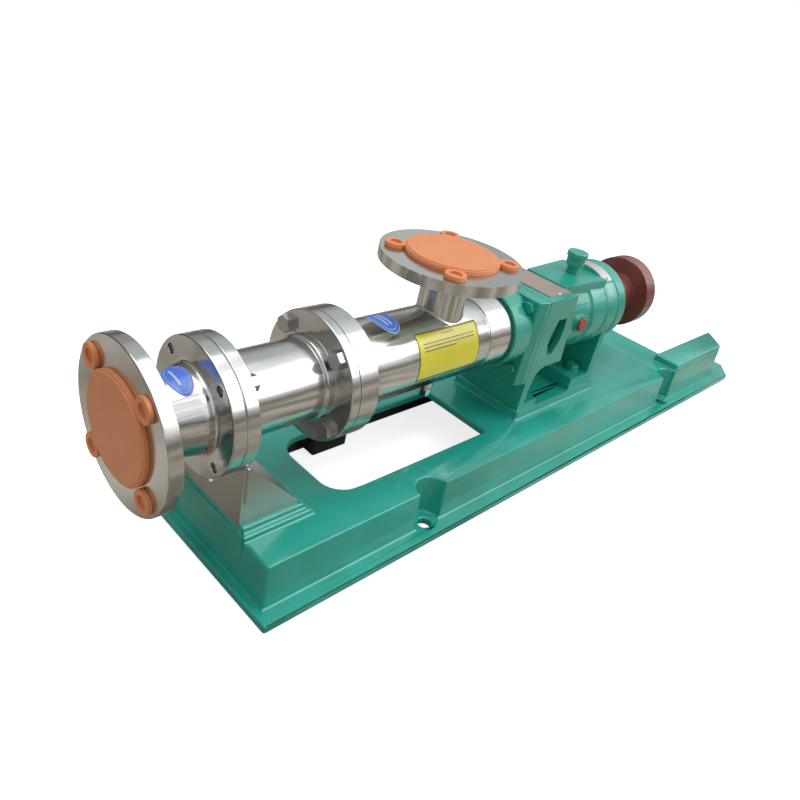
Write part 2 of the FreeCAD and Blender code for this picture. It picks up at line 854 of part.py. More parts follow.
def make_suction_chamber():
    chamber = on_axis("suction_chamber", rear_joint)
    length = S("chamber_length")
    flange = S("chamber_flange_width")
    outer = S("barrel") / 2
    inner = outer - S("barrel_wall")
    mouth = inner - 9
    large = S("large_flange") / 2
    seam = S("seam_offset")
    ring_start = length - S("chamber_ring_width")
    ring_inner = S("box_tube") / 2 + 0.1
    turned(chamber, [(0, mouth), (flange, mouth), (flange + 8, inner), (ring_start, inner),
                     (ring_start, ring_inner), (length, ring_inner), (length, outer),
                     (seam + 1.5, outer), (seam + 0.75, outer - 1.2), (seam - 0.75, outer - 1.2),
                     (seam - 1.5, outer), (flange, outer), (flange, large), (0, large)])
    branch_at = S("branch_offset")
    tube = S("branch_tube") / 2
    face = S("branch_face")
    under = face - S("suction_flange_width")
    branch = chamber.newObject("Sketcher::SketchObject", "branch_sketch")
    branch.AttachmentSupport = (origin_plane(chamber, "XZ_Plane"), [""])
    branch.MapMode = "FlatFace"
    outline(branch, [(branch_at, outer - 16), (branch_at + tube, outer - 16), (branch_at + tube, under),
                     (branch_at + S("suction_flange") / 2, under), (branch_at + S("suction_flange") / 2, face),
                     (branch_at, face)])
    turning = chamber.newObject("PartDesign::Revolution", "branch_turned")
    turning.Profile = branch
    turning.ReferenceAxis = (branch, ["Edge6"])
    turning.Angle = 360
    # the weld where the branch meets the barrel
    barrel_top = float(outer)
    rounded(chamber, lambda edge: not isinstance(edge.Curve, (Part.Circle, Part.Line))
            and edge.BoundBox.ZMax > barrel_top - 3 and edge.BoundBox.YLength > 1, S("branch_weld"))
    drain = new_sketch(chamber, "XY_Plane", -S("drain_drop"))
    circle(drain, S("drain_offset"), 0, S("drain_boss") / 2)
    pad(chamber, drain, S("drain_drop") - inner - 1)
    # the barrel, the branch and the drain are bored last
    hollow = new_sketch(chamber, "YZ_Plane", flange + 8)
    circle(hollow, 0, 0, inner)
    pocket(chamber, hollow, ring_start - flange - 8, reverse=True)
    bore = new_sketch(chamber, "XY_Plane", 0)
    circle(bore, branch_at, 0, S("branch_bore") / 2)
    pocket(chamber, bore, face + 1, reverse=True)
    drain_hole = new_sketch(chamber, "XY_Plane", 0)
    circle(drain_hole, S("drain_offset"), 0, S("drain_thread") / 2)
    pocket(chamber, drain_hole, S("drain_drop") + 1)
    # bolt holes: threads for the stator flange, clearance in the suction flange
    flange_holes(chamber, S("large_circle"), S("large_bolt") / 2, 22, 0)
    place = S("suction_circle") / 2 * DIAGONAL
    suction = new_sketch(chamber, "XY_Plane", under)
    for across in (-1, 1):
        for along in (-1, 1):
            circle(suction, branch_at + along * place, across * place, S("flange_hole") / 2)
    pocket(chamber, suction, S("suction_flange_width"), reverse=True)
    screws = new_sketch(chamber, "YZ_Plane", ring_start)
    spot = S("chamber_screw_circle") / 2 * DIAGONAL
    circle(screws, spot, spot, S("chamber_screw") / 2)
    around(chamber, pocket(chamber, screws, S("chamber_ring_width"), reverse=True), "X_Axis", 4)
    groove = S("box_tube") / 2 + S("o_ring")
    middle = length - S("chamber_ring_width") / 2
    half_width = S("o_ring") / 2 + 0.3
    turned(chamber, [(middle - half_width, ring_inner - 1), (middle + half_width, ring_inner - 1),
                     (middle + half_width, groove + 0.1), (middle - half_width, groove + 0.1)], cut=True)


def make_drain_plug():
    """Hexagon plug with a flange, screwed up into the drain boss."""
    plug = new_body("drain_plug", drain_x, 0, S("axis_height") - S("drain_drop") - S("drain_washer"))
    thread = new_sketch(plug, "XY_Plane")
    circle(thread, 0, 0, S("drain_thread") / 2)
    pad(plug, thread, 14)
    collar = new_sketch(plug, "XY_Plane")
    circle(collar, 0, 0, S("drain_boss") / 2 - 1)
    pad(plug, collar, 3, reverse=True)
    head = new_sketch(plug, "XY_Plane", -3)
    radius = S("drain_boss") / 2 * 0.82
    outline(head, [(radius * math.cos(math.radians(60 * step)), radius * math.sin(math.radians(60 * step)))
                   for step in range(6)])
    pad(plug, head, 10, reverse=True)


def make_drain_washer():
    washer = new_body("drain_washer", drain_x, 0, S("axis_height") - S("drain_drop") - S("drain_washer"))
    sketch = new_sketch(washer, "XY_Plane")
    circle(sketch, 0, 0, S("drain_boss") / 2 - 0.5)
    circle(sketch, 0, 0, S("drain_thread") / 2 + 0.3)
    pad(washer, sketch, S("drain_washer"))


def make_flange_bolts():
    """Studs, sunk in the discharge flange, and nuts at the stator's front; hexagon screws at its rear."""
    small = float(S("small_bolt"))
    start = float(front_joint - S("small_flange_width") + S("stud_sink"))
    nut_seat = float(front_joint + S("stator_front_width"))
    stud = bar(small, nut_seat + 0.8 * small + 2 - start)
    circle_radius = float(S("small_circle")) / 2
    solid_group("front_flange_bolts", on_circle(stud, start, circle_radius, 4, 45))
    nut = hex_nut(small, 0.02)
    solid_group("front_flange_nuts", on_circle(nut, nut_seat, circle_radius, 4, 45))
    large = float(S("large_bolt"))
    rear_seat = float(rear_joint - S("stator_rear_width"))
    bolt = hex_bolt(large, 30)
    solid_group("rear_flange_bolts", on_circle(bolt, rear_seat, float(S("large_circle")) / 2, 4, 45))


# Rotor, connecting rod and their joints

def make_rotor():
    """Single-start rotor: a round section carried round a helix, then the socket for the rod."""
    rotor = new_body("rotor", front_joint, S("eccentricity"), S("axis_height"))
    section = new_sketch(rotor, "YZ_Plane", -S("rotor_front_overhang"))
    past = float(S("rotor_front_overhang"))
    turn = -360.0 * past / float(S("rotor_pitch"))
    section.setExpression("AttachmentOffset.Base.z", (-S("rotor_front_overhang")).text)
    section.AttachmentOffset = Placement(Vector(0, 0, -past), Rotation(Vector(0, 0, 1), turn))
    circle(section, S("eccentricity"), 0, S("rotor_diameter") / 2)
    helix = rotor.newObject("PartDesign::AdditiveHelix", "rotor_helix")
    helix.Profile = section
    helix.ReferenceAxis = (origin_plane(rotor, "X_Axis"), [""])
    helix.Mode = "pitch-height-angle"
    helix.setExpression("Pitch", S("rotor_pitch").text)
    helix_length = rotor_helix_end - rotor_start
    helix.setExpression("Height", helix_length.text)
    head_start = rotor_helix_end - front_joint
    head_end = rotor_head_end - front_joint
    head = S("rotor_head") / 2
    ring(rotor, head_start, head_end, 0, head)
    turned(rotor, [(head_end - S("socket_depth"), 0), (head_end, 0), (head_end, S("socket_bore") / 2),
                   (head_end - S("socket_depth"), S("socket_bore") / 2)], cut=True)
    pin_hole(rotor, rotor_joint_x - front_joint)


def pin_hole(body, x):
    sketch = new_sketch(body, "XY_Plane")
    circle(sketch, x, 0, S("joint_pin") / 2)
    pocket(body, sketch)


def make_joint_pin(name, x, y, head):
    pin = new_body(name, x, y, S("axis_height"))
    reach = head / 2 - S("joint_pin_sink")
    sketch = new_sketch(pin, "XY_Plane", -reach)
    circle(sketch, 0, 0, S("joint_pin") / 2)
    pad(pin, sketch, reach * 2)


def make_joint_sleeve(name, x, y, head, gap):
    sleeve = new_body(name, x, y, S("axis_height"))
    inner = head / 2 + gap
    half = S("joint_sleeve_length") / 2
    ring(sleeve, -half, half, inner, inner + S("joint_sleeve_wall"))


def make_connecting_rod():
    """Straight rod with a barrelled eye at each end, leaning from the rotor's axis to the shaft's."""
    rod = new_body("connecting_rod", rotor_joint_x, S("eccentricity"), S("axis_height"))
    lean = math.degrees(math.atan(float(S("eccentricity")) / float(S("rod_span"))))
    rod.Placement.Rotation = Rotation(Vector(0, 0, 1), -lean)
    span = math.hypot(float(S("rod_span")), float(S("eccentricity")))
    head = S("rod_head") / 2
    shank = S("rod_shank") / 2
    reach = S("rod_head_reach")
    far = size(Size(f"sqrt(pow({S('rod_span').text}; 2) + pow({S('eccentricity').text}; 2))", span))
    turned(rod, [(-reach, 0), (-reach, head - 2.5), (-reach + 3, head), (reach - 3, head), (reach + 6, shank),
                 (far - reach - 6, shank), (far - reach + 3, head), (far + reach - 3, head),
                 (far + reach, head - 2.5), (far + reach, 0)])
    for x in (size(0), far):
        eye = new_sketch(rod, "XY_Plane")
        circle(eye, x, 0, S("joint_pin") / 2 + S("joint_pin_play"))
        pocket(rod, eye)


# Shaft seal

def make_stuffing_box():
    box = on_axis("stuffing_box", box_front)
    depth = S("box_depth")
    tube = S("box_tube") / 2
    bore = S("packing_outer") / 2
    throat = S("packing_shaft") / 2 + 1
    flange = depth - S("box_flange_width")
    turned(box, [(0, throat), (6, throat), (6, bore), (depth, bore), (depth, S("barrel") / 2 - 0.2),
                 (flange, S("barrel") / 2 - 0.2), (flange, tube), (0, tube)])
    screws = new_sketch(box, "YZ_Plane", flange)
    spot = S("chamber_screw_circle") / 2 * DIAGONAL
    circle(screws, spot, spot, S("chamber_screw") / 2 + S("hole_play"))
    around(box, pocket(box, screws, S("box_flange_width"), reverse=True), "X_Axis", 4)
    studs = new_sketch(box, "YZ_Plane", flange)
    circle(studs, S("gland_circle") / 2, 0, S("gland_stud") / 2)
    around(box, pocket(box, studs, S("box_flange_width"), reverse=True), "X_Axis", 2)


def make_o_ring():
    """Seals the stuffing box in the end of the chamber."""
    ring_body = on_axis("box_o_ring", chamber_end - S("chamber_ring_width") / 2)
    section = new_sketch(ring_body, "XZ_Plane")
    circle(section, 0, S("box_tube") / 2 + S("o_ring") / 2, S("o_ring") / 2)
    feature = ring_body.newObject("PartDesign::Revolution", "o_ring_turned")
    feature.Profile = section
    feature.ReferenceAxis = (section, ["H_Axis"])
    feature.Angle = 360


def flipped(shape):
    """Turns a fastener that points along +X so that it points along -X."""
    copy = shape.copy()
    copy.rotate(Vector(0, 0, 0), Vector(0, 0, 1), 180)
    return copy


def make_chamber_screws():
    """Hold the adapter's web and the stuffing box to the end of the chamber, from the lantern side."""
    screw = flipped(socket_screw(float(S("chamber_screw")), 27))
    solid_group("chamber_screws",
                on_circle(screw, float(adapter_face), float(S("chamber_screw_circle")) / 2, 4, 45))


def packing_start():
    return box_front + 6


def lantern_start():
    return packing_start() + 2 * S("packing_size")


def make_packing_rings():
    """Square braided rings, two each side of the lantern ring."""
    rings = []
    inner = float(S("packing_shaft")) / 2 + 0.05
    outer = float(S("packing_outer")) / 2
    width = float(S("packing_size"))
    start = float(packing_start())
    for index in range(int(float(S("packing_count")))):
        shift = float(S("lantern_width")) if index >= 2 else 0.0
        place = start + index * width + shift
        outside = Part.makeCylinder(outer, width, Vector(place, 0, 0), Vector(1, 0, 0))
        inside = Part.makeCylinder(inner, width, Vector(place, 0, 0), Vector(1, 0, 0))
        rings.append(outside.cut(inside))
    solid_group("packing_rings", rings)


def make_lantern_ring():
    lantern = on_axis("lantern_ring", lantern_start())
    width = S("lantern_width")
    inner = S("packing_shaft") / 2 + 0.5
    outer = S("packing_outer") / 2
    turned(lantern, [(0, inner), (3, inner), (3, inner + 2), (width - 3, inner + 2), (width - 3, inner),
                     (width, inner), (width, outer), (width - 3, outer), (width - 3, outer - 2),
                     (3, outer - 2), (3, outer), (0, outer)])
    port = new_sketch(lantern, "XY_Plane")
    circle(port, width / 2, 0, 2)
    pocket(lantern, port)


def gland_face():
    """Where the follower's nose meets the last packing ring."""
    return lantern_start() + S("lantern_width") + 2 * S("packing_size")


def make_gland_follower():
    follower = on_axis("gland_follower", gland_face() + S("gland_seat_gap"))
    nose = adapter_face - gland_face() + 3 - S("gland_seat_gap")
    inner = S("packing_shaft") / 2 + S("hole_play")
    ring(follower, 0, nose + S("gland_flange_width"), inner, S("packing_outer") / 2 - 0.3)
    flange = new_sketch(follower, "YZ_Plane", nose)
    reach = S("gland_circle") / 2
    ear = 9
    side = S("packing_outer") / 2 + 1
    outline(flange, [(-reach - ear, -6), (-reach, -12), (-12, -side), (12, -side), (reach, -12),
                     (reach + ear, -6), (reach + ear, 6), (reach, 12), (12, side), (-12, side),
                     (-reach, 12), (-reach - ear, 6)])
    circle(flange, 0, 0, inner)
    pad(follower, flange, S("gland_flange_width"))
    studs = new_sketch(follower, "YZ_Plane", nose)
    for across in (-1, 1):
        circle(studs, across * reach, 0, S("gland_stud") / 2 + S("hole_play"))
    pocket(follower, studs, S("gland_flange_width"), reverse=True)


def gland_flange_back():
    return adapter_face + 3 + S("gland_flange_width")


def make_gland_studs():
    start = float(box_back - S("box_flange_width"))
    length = float(gland_flange_back()) + 0.8 * float(S("gland_stud")) + float(S("gland_travel")) + 2 - start
    stud = bar(float(S("gland_stud")), length)
    solid_group("gland_studs", on_circle(stud, start, float(S("gland_circle")) / 2, 2, 0))


def make_gland_nuts():
    nut = hex_nut(float(S("gland_stud")), 0.3)
    place = float(gland_flange_back())
    solid_group("gland_nuts", on_circle(nut, place, float(S("gland_circle")) / 2, 2, 0))


# Seal adapter between the barrel and the pedestal

def make_seal_adapter():
    """Green casting: a ring round the barrel's end and a bevelled square plate on the pedestal."""
    adapter = on_axis("seal_adapter", adapter_face)
    plate = S("plate_width")
    half = S("plate_half")
    wide = half + S("plate_flare")
    bevel = S("plate_bevel")
    top = S("plate_top")
    low = -S("plate_drop")
    face = new_sketch(adapter, "YZ_Plane", plate)
    outline(face, [(-wide, low), (wide, low), (wide, top), (-wide, top)])
    pad(adapter, face, plate - 16, reverse=True)
    nose = new_sketch(adapter, "YZ_Plane", 0)
    outline(nose, [(-half, low), (half, low), (half, top), (-half, top)])
    back = new_sketch(adapter, "YZ_Plane", 16)
    outline(back, [(-wide, low), (wide, low), (wide, top), (-wide, top)])
    loft = adapter.newObject("PartDesign::AdditiveLoft", "adapter_plate")
    loft.Profile = nose
    loft.Sections = [back]
    loft.Ruled = True
    start = -S("web_width") - S("ring_lead")
    ring_outer = S("ring_outer") / 2
    ring(adapter, start, 0, 0, ring_outer)
    turned(adapter, [(start, 0), (-S("web_width"), 0), (-S("web_width"), S("barrel") / 2 + 0.1),
                     (start, S("barrel") / 2 + 0.1)], cut=True)
    web = new_sketch(adapter, "YZ_Plane", -S("web_width") - 1)
    circle(web, 0, 0, S("packing_outer") / 2 + 2)
    pocket(adapter, web, plate + S("web_width") + 2, reverse=True)
    recess = new_sketch(adapter, "YZ_Plane", 0)
    circle(recess, 0, 0, S("plate_recess") / 2)
    pocket(adapter, recess, plate + 1, reverse=True)
    screws = new_sketch(adapter, "YZ_Plane", -S("web_width"))
    spot = S("chamber_screw_circle") / 2 * DIAGONAL
    circle(screws, spot, spot, S("chamber_screw") / 2 + S("hole_play"))
    around(adapter, pocket(adapter, screws, S("web_width"), reverse=True), "X_Axis", 4)
    studs = new_sketch(adapter, "YZ_Plane", -S("web_width"))
    circle(studs, S("gland_circle") / 2, 0, S("gland_stud") / 2 + S("hole_play"))
    around(adapter, pocket(adapter, studs, S("web_width"), reverse=True), "X_Axis", 2)
    bolts = new_sketch(adapter, "YZ_Plane", 0)
    adapter_bolt_circles(bolts, S("adapter_bolt") / 2 + S("hole_play"))
    pocket(adapter, bolts, plate, reverse=True)
    spot_faces = new_sketch(adapter, "YZ_Plane", 0)
    adapter_bolt_circles(spot_faces, S("adapter_bolt") * HEAD_CORNER + S("hole_play"))
    pocket(adapter, spot_faces, S("head_notch"))


def adapter_bolt_places():
    """Each bolt's y and z from the axis; the four sit on the plate, a little below the axis."""
    return [(y * S("adapter_bolt_y") / 2, z * S("adapter_bolt_z") / 2 - S("adapter_bolt_drop"))
            for y in (-1, 1) for z in (-1, 1)]


def adapter_bolt_circles(sketch, radius):
    for y, z in adapter_bolt_places():
        circle(sketch, y, z, radius)


def make_adapter_bolts():
    bolt = hex_bolt(float(S("adapter_bolt")), float(S("plate_width")) + 14)
    places = []
    for y, z in adapter_bolt_places():
        copy = bolt.copy()
        copy.translate(Vector(float(adapter_face), float(y), float(z)))
        places.append(copy)
    solid_group("adapter_bolts", places)


# Bearing pedestal

def make_pedestal():
    """Green casting: front wall, open lantern, bearing barrel with its top block, feet and web."""
    pedestal = on_axis("bearing_pedestal", pedestal_face)
    drop = S("axis_height") - S("seat_height")
    lantern = S("lantern_rear")
    wall = S("front_wall")
    top = S("plate_top")
    cheek = S("cheek_half")
    side = new_sketch(pedestal, "XZ_Plane")
    outline(side, [(0, -drop), (wall - 5, -drop), (wall + 2, -drop + 50), (wall + 6, -drop + 60),
                   (wall + 13, -drop + 66), (wall + 24, -drop + 69), (lantern + 16, -drop + 69),
                   (lantern + 1, top), (0, top)])
    pad(pedestal, side, 2 * cheek, midplane=True)
    # bearing barrel with its two steps and rear collar
    front = S("housing_front") / 2
    middle = S("housing_middle") / 2
    barrel = S("housing_outer") / 2
    collar = S("housing_collar") / 2
    end = lantern + S("housing_length")
    first = lantern + S("first_step")
    second = lantern + S("second_step")
    collar_start = end - S("collar_length")
    turned(pedestal, [(lantern - 6, 0), (end, 0), (end, collar), (collar_start, collar),
                      (collar_start - 3, barrel), (second + S("step_length"), barrel), (second, middle),
                      (first + S("step_length"), middle), (first, front), (lantern - 6, front)])
    # top block, widening towards the name strip
    block = new_sketch(pedestal, "XY_Plane")
    block_end = lantern + S("block_length")
    front_half = S("block_half")
    rear_half = S("block_rear_half")
    outline(block, [(lantern - 1, -front_half), (block_end, -rear_half),
                    (block_end + S("plate_seat_length"), -rear_half),
                    (block_end + S("plate_seat_length"), rear_half), (block_end, rear_half),
                    (lantern - 1, front_half)])
    pad(pedestal, block, S("block_top"))
    # the barrel is cut flat under the two plates and the grease cup
    flats = new_sketch(pedestal, "XZ_Plane")
    flats_end = block_end + S("plate_seat_length")
    outline(flats, [(-1, top), (lantern - 1, top), (lantern - 1, S("block_top")), (flats_end, S("block_top")),
                    (flats_end, collar), (-1, collar)])
    pocket(pedestal, flats, 2 * rear_half, midplane=True)
    # feet
    foot = new_sketch(pedestal, "XY_Plane", -drop)
    start = S("rear_foot_start")
    rectangle(foot, start, -S("foot_half"), start + S("rear_foot_length"), S("foot_half"))
    pad(pedestal, foot, S("rear_foot_height"))
    front_foot = new_sketch(pedestal, "XY_Plane", -drop)
    rectangle(front_foot, wall - 6, -cheek + 1, wall + S("front_foot_length"), cheek - 1)
    pad(pedestal, front_foot, S("front_foot_height"))
    # rear wall, narrowing towards the barrel, and the long web under it
    web_end = start + S("rear_foot_length") - 10
    rear_wall = new_sketch(pedestal, "YZ_Plane", web_end - 4)
    outline(rear_wall, [(-S("foot_half") + 1, -drop + 2), (S("foot_half") - 1, -drop + 2),
                        (barrel - 6, -26), (-barrel + 6, -26)])
    pad(pedestal, rear_wall, 14)
    web = new_sketch(pedestal, "XZ_Plane")
    outline(web, [(lantern - 2, -48), (lantern - 2, -drop + 71), (start + 10, -drop + 4),
                  (web_end, -drop + 4), (web_end, -48)])
    pad(pedestal, web, 14, midplane=True)
    # lantern cavity, front opening and side windows
    cavity = new_sketch(pedestal, "XZ_Plane")
    rectangle(cavity, wall, -drop + S("front_foot_height"), lantern - 6, top - S("roof"))
    pocket(pedestal, cavity, 2 * (cheek - S("cheek_wall")), midplane=True)
    opening = new_sketch(pedestal, "YZ_Plane")
    circle(opening, 0, 0, S("plate_recess") / 2)
    pocket(pedestal, opening, wall + 1, reverse=True)
    window = new_sketch(pedestal, "XZ_Plane")
    outline(window, [(wall + 11, -18), (wall + 19, -36), (wall + 31, -36), (wall + 42, -15), (wall + 44, 6),
                     (wall + 41, 22), (wall + 20, 22), (wall + 12, 0)])
    pocket(pedestal, window)
    # bearing bore, open at both ends
    bore = S("bearing_outer") / 2
    turned(pedestal, [(lantern - 7, 0), (end + 1, 0), (end + 1, bore), (lantern - 7, bore)], cut=True)
    # bolt holes and threads
    feet = new_sketch(pedestal, "XY_Plane", -drop)
    for x, y, radius in foot_bolt_places():
        circle(feet, x - pedestal_face, y, radius + S("hole_play"))
    pocket(pedestal, feet, S("rear_foot_height") + 1, reverse=True)
    adapter_threads = new_sketch(pedestal, "YZ_Plane")
    adapter_bolt_circles(adapter_threads, S("adapter_bolt") / 2)
    pocket(pedestal, adapter_threads, wall, reverse=True)
    spot = S("cover_circle") / 2 * DIAGONAL
    cover_threads = new_sketch(pedestal, "YZ_Plane", lantern - 6)
    circle(cover_threads, spot, spot, S("cover_screw") / 2)
    around(pedestal, pocket(pedestal, cover_threads, 12, reverse=True), "X_Axis", 4)
    rear_threads = new_sketch(pedestal, "YZ_Plane", end)
    circle(rear_threads, spot, spot, S("cover_screw") / 2)
    around(pedestal, pocket(pedestal, rear_threads, 16), "X_Axis", 4)
    cup_hole = new_sketch(pedestal, "XY_Plane", 20)
    circle(cup_hole, S("cup_offset"), 0, S("cup_thread") / 2)
    pocket(pedestal, cup_hole, S("block_top"), reverse=True)
    # boss and thread for the oil level plug, on the near side
    boss = new_sketch(pedestal, "XZ_Plane", bore + 2)
    circle(boss, lantern + 33, 5, S("plug_thread") / 2 + 7)
    pad(pedestal, boss, front + 3 - bore - 2)
    plug_hole = new_sketch(pedestal, "XZ_Plane", bore - 2)
    circle(plug_hole, lantern + 33, 5, S("plug_thread") / 2)
    pocket(pedestal, plug_hole, barrel, reverse=True)
    # rivet holes for the nameplate
    rivets = new_sketch(pedestal, "XY_Plane", top - 6)
    for x, y in nameplate_rivet_places():
        circle(rivets, x - pedestal_face, y, S("rivet") / 2)
    pocket(pedestal, rivets, 8, reverse=True)


def nameplate_middle():
    return pedestal_face + S("lantern_rear") / 2 + 5


def strip_start():
    """The bent strip lies on the barrel, right behind the block."""
    return pedestal_face + S("lantern_rear") + S("block_length") + S("plate_seat_length") + 1


def nameplate_rivet_places():
    x = nameplate_middle()
    return [(x, side * (S("nameplate_length") / 2 - 4)) for side in (-1, 1)]


def strip_rivet_turns():
    """Degrees about the axis from the top to each rivet of the bent strip."""
    turn = math.degrees((float(S("name_strip_length")) / 2 - 5) / (float(S("housing_outer")) / 2))
    return (-turn, turn)


def make_pedestal_bolts():
    """Hexagon bolts with plain washers, two through each foot."""
    thick = float(S("bolt_washer"))
    diameter = float(S("foot_bolt"))
    places = foot_bolt_places()
    seat = float(S("seat_height"))
    bolts = []
    washers = []
    for index, (x, y, _) in enumerate(places):
        foot = float(S("front_foot_height") if index < 2 else S("rear_foot_height"))
        height = seat + foot + thick - float(S("axis_height"))
        bolt = upright(hex_bolt(diameter, foot + thick + 18))
        bolt.translate(Vector(float(x), float(y), height))
        bolts.append(bolt)
        outside = Part.makeCylinder(diameter, thick)
        washer = outside.cut(Part.makeCylinder(diameter / 2 + 0.5, thick))
        washer.translate(Vector(float(x), float(y), height - thick))
        washers.append(washer)
    solid_group("pedestal_bolts", bolts)
    solid_group("pedestal_washers", washers)


# Bearings and their covers

def make_front_cover():
    """Square-cornered cover inside the lantern; its spigot holds the front bearing."""
    cover = on_axis("front_bearing_cover", housing_face - 6)
    thick = S("front_cover_width")
    half = S("front_cover_half")
    corner = half - 14
    flange = new_sketch(cover, "YZ_Plane")
    outline(flange, [(half, -corner), (half, corner), (corner, half), (-corner, half), (-half, corner),
                     (-half, -corner), (-corner, -half), (corner, -half)])
    pad(cover, flange, thick, reverse=True)
    spigot = front_bearing_x - housing_face + 6
    outer = S("bearing_outer") / 2 - S("spigot_play")
    seal = S("lip_seal_outer") / 2
    bore = S("shaft_collar") / 2 + 2.5
    ring(cover, 0, spigot, 0, outer)
    turned(cover, [(-thick - 1, 0), (spigot + 1, 0), (spigot + 1, outer - 7), (4, outer - 7), (4, bore),
                   (0, bore), (0, seal), (-thick - 1, seal)], cut=True)
    cover_screw_holes(cover, -thick, thick)


def cover_screw_holes(cover, start, depth):
    sketch = new_sketch(cover, "YZ_Plane", start)
    spot = S("cover_circle") / 2 * DIAGONAL
    circle(sketch, spot, spot, S("cover_screw") / 2 + S("hole_play"))
    around(cover, pocket(cover, sketch, depth, reverse=True), "X_Axis", 4)


def make_rear_cover():
    cover = on_axis("rear_bearing_cover", housing_back)
    thick = S("cover_width")
    spigot = housing_back - rear_bearing_x - S("bearing_width")
    outer = S("bearing_outer") / 2 - S("spigot_play")
    seal = S("lip_seal_outer") / 2
    bore = S("packing_shaft") / 2 + 2.5
    seal_start = thick - S("lip_seal_width")
    rim = S("housing_collar") / 2 - 1
    turned(cover, [(-spigot, S("nut_outer") / 2 + 4), (-spigot, outer), (0, outer), (0, rim), (thick, rim),
                   (thick, seal), (seal_start, seal), (seal_start, bore), (seal_start - 2, bore),
                   (seal_start - 2, S("nut_outer") / 2 + 4)])
    cover_screw_holes(cover, 0, thick)


def make_cover_screws():
    diameter = float(S("cover_screw"))
    radius = float(S("cover_circle")) / 2
    front = hex_bolt(diameter, float(S("front_cover_width")) + 11)
    front_seat = float(housing_face - 6 - S("front_cover_width"))
    solid_group("front_cover_screws", on_circle(front, front_seat, radius, 4, 45))
    rear = flipped(hex_bolt(diameter, float(S("cover_width")) + 14))
    solid_group("rear_cover_screws", on_circle(rear, float(cover_back), radius, 4, 45))


def make_lip_seal(name, start, shaft_radius):
    """Rubber ring with a hollow back and a single lip."""
    seal = on_axis(name, start)
    width = S("lip_seal_width")
    outer = S("lip_seal_outer") / 2
    lip = shaft_radius + S("lip_play")
    turned(seal, [(0, lip + 3), (3, lip), (5, lip + 1.5), (5, lip + 3), (3, lip + 4), (3, outer - 2),
                  (width, outer - 2), (width, outer), (0, outer)])


def make_bearing(side, start):
    """Deep-groove ball bearing: two rings, and the balls with their cage."""
    width = S("bearing_width")
    pitch = (S("bearing_bore") + S("bearing_outer")) / 4
    ball = S("ball") / 2
    track = ball + S("ball_play")
    outer_ring = on_axis(side + "_bearing_outer_ring", start)
    ring(outer_ring, 0, width, pitch + ball * 0.65, S("bearing_outer") / 2)
    groove(outer_ring, width / 2, pitch, track)
    inner_ring = on_axis(side + "_bearing_inner_ring", start)
    ring(inner_ring, 0, width, S("bearing_bore") / 2, pitch - ball * 0.65)
    groove(inner_ring, width / 2, pitch, track)
    middle = float(start + width / 2)
    cage_width = float(S("cage_width"))
    cage_start = middle - cage_width / 2
    cage = bar(2 * float(pitch) + 3, cage_width, cage_start)
    cage = cage.cut(bar(2 * float(pitch) - 3, cage_width, cage_start))
    balls = []
    count = int(float(S("ball_count")))
    for step in range(count):
        turn = 2 * math.pi * step / count
        centre = Vector(middle, float(pitch) * math.cos(turn), float(pitch) * math.sin(turn))
        balls.append(Part.makeSphere(float(ball), centre))
        cage = cage.cut(Part.makeSphere(float(ball) + 0.1, centre))
    solid_group(side + "_bearing_balls", balls + [cage])


def groove(body, x, radius, section):
    """A round track turned about the X axis."""
    sketch = new_sketch(body, "XZ_Plane")
    circle(sketch, x, radius, section)
    feature = body.newObject("PartDesign::Groove", body.Name + "_track")
    feature.Profile = sketch
    feature.ReferenceAxis = (sketch, ["H_Axis"])
    feature.Angle = 360


def make_bearing_clamping():
    """Spacer between the inner rings, then the tab washer and slotted nut behind the rear one."""
    seat = S("bearing_bore") / 2
    spacer = on_axis("bearing_spacer", front_bearing_x + S("bearing_width"))
    ring(spacer, 0, rear_bearing_x - front_bearing_x - S("bearing_width"), seat, seat + 5)
    washer = on_axis("lock_washer", lock_start())
    nut_outer = S("nut_outer") / 2
    ring(washer, 0, S("lock_washer_width"), seat, nut_outer - 2)
    nut = on_axis("lock_nut", lock_start() + S("lock_washer_width"))
    ring(nut, 0, S("lock_nut_width"), seat, nut_outer)
    slot = new_sketch(nut, "YZ_Plane")
    rectangle(slot, nut_outer - 3, -3, nut_outer + 1, 3)
    around(nut, pocket(nut, slot, S("lock_nut_width"), reverse=True), "X_Axis", 4)


def lock_start():
    return rear_bearing_x + S("bearing_width")


def make_drive_shaft():
    """Stepped shaft: joint socket, packing run, collar, bearing seats, nut thread and coupling end."""
    shaft = on_axis("drive_shaft", shaft_start)

    def at(x):
        return x - shaft_start

    packing = S("packing_shaft") / 2
    collar = S("shaft_collar") / 2
    seat = S("bearing_bore") / 2
    tail = S("coupling_shaft") / 2
    nut_end = lock_start() + S("lock_washer_width") + S("lock_nut_width")
    end = coupling_back - 4
    socket = S("socket_bore") / 2
    turned(shaft, [(S("socket_depth"), 0), (S("socket_depth"), socket), (0, socket), (0, packing),
                   (at(slinger_start() + S("slinger_width")), packing),
                   (at(slinger_start() + S("slinger_width")), collar), (at(front_bearing_x), collar),
                   (at(front_bearing_x), seat), (at(nut_end), seat), (at(nut_end), packing),
                   (at(hub_front), packing), (at(hub_front), tail), (at(end) - 1.5, tail),
                   (at(end), tail - 1.5), (at(end), 0)])
    pin_hole(shaft, shaft_joint_x - shaft_start)
    keyway = new_sketch(shaft, "XY_Plane", key_floor())
    key_start = hub_front + 4
    rectangle(keyway, at(key_start), -S("key_width") / 2, at(key_start + S("key_length")), S("key_width") / 2)
    pocket(shaft, keyway, 10, reverse=True)


def key_floor():
    return S("coupling_shaft") / 2 - 5


def slinger_start():
    return housing_face - 33


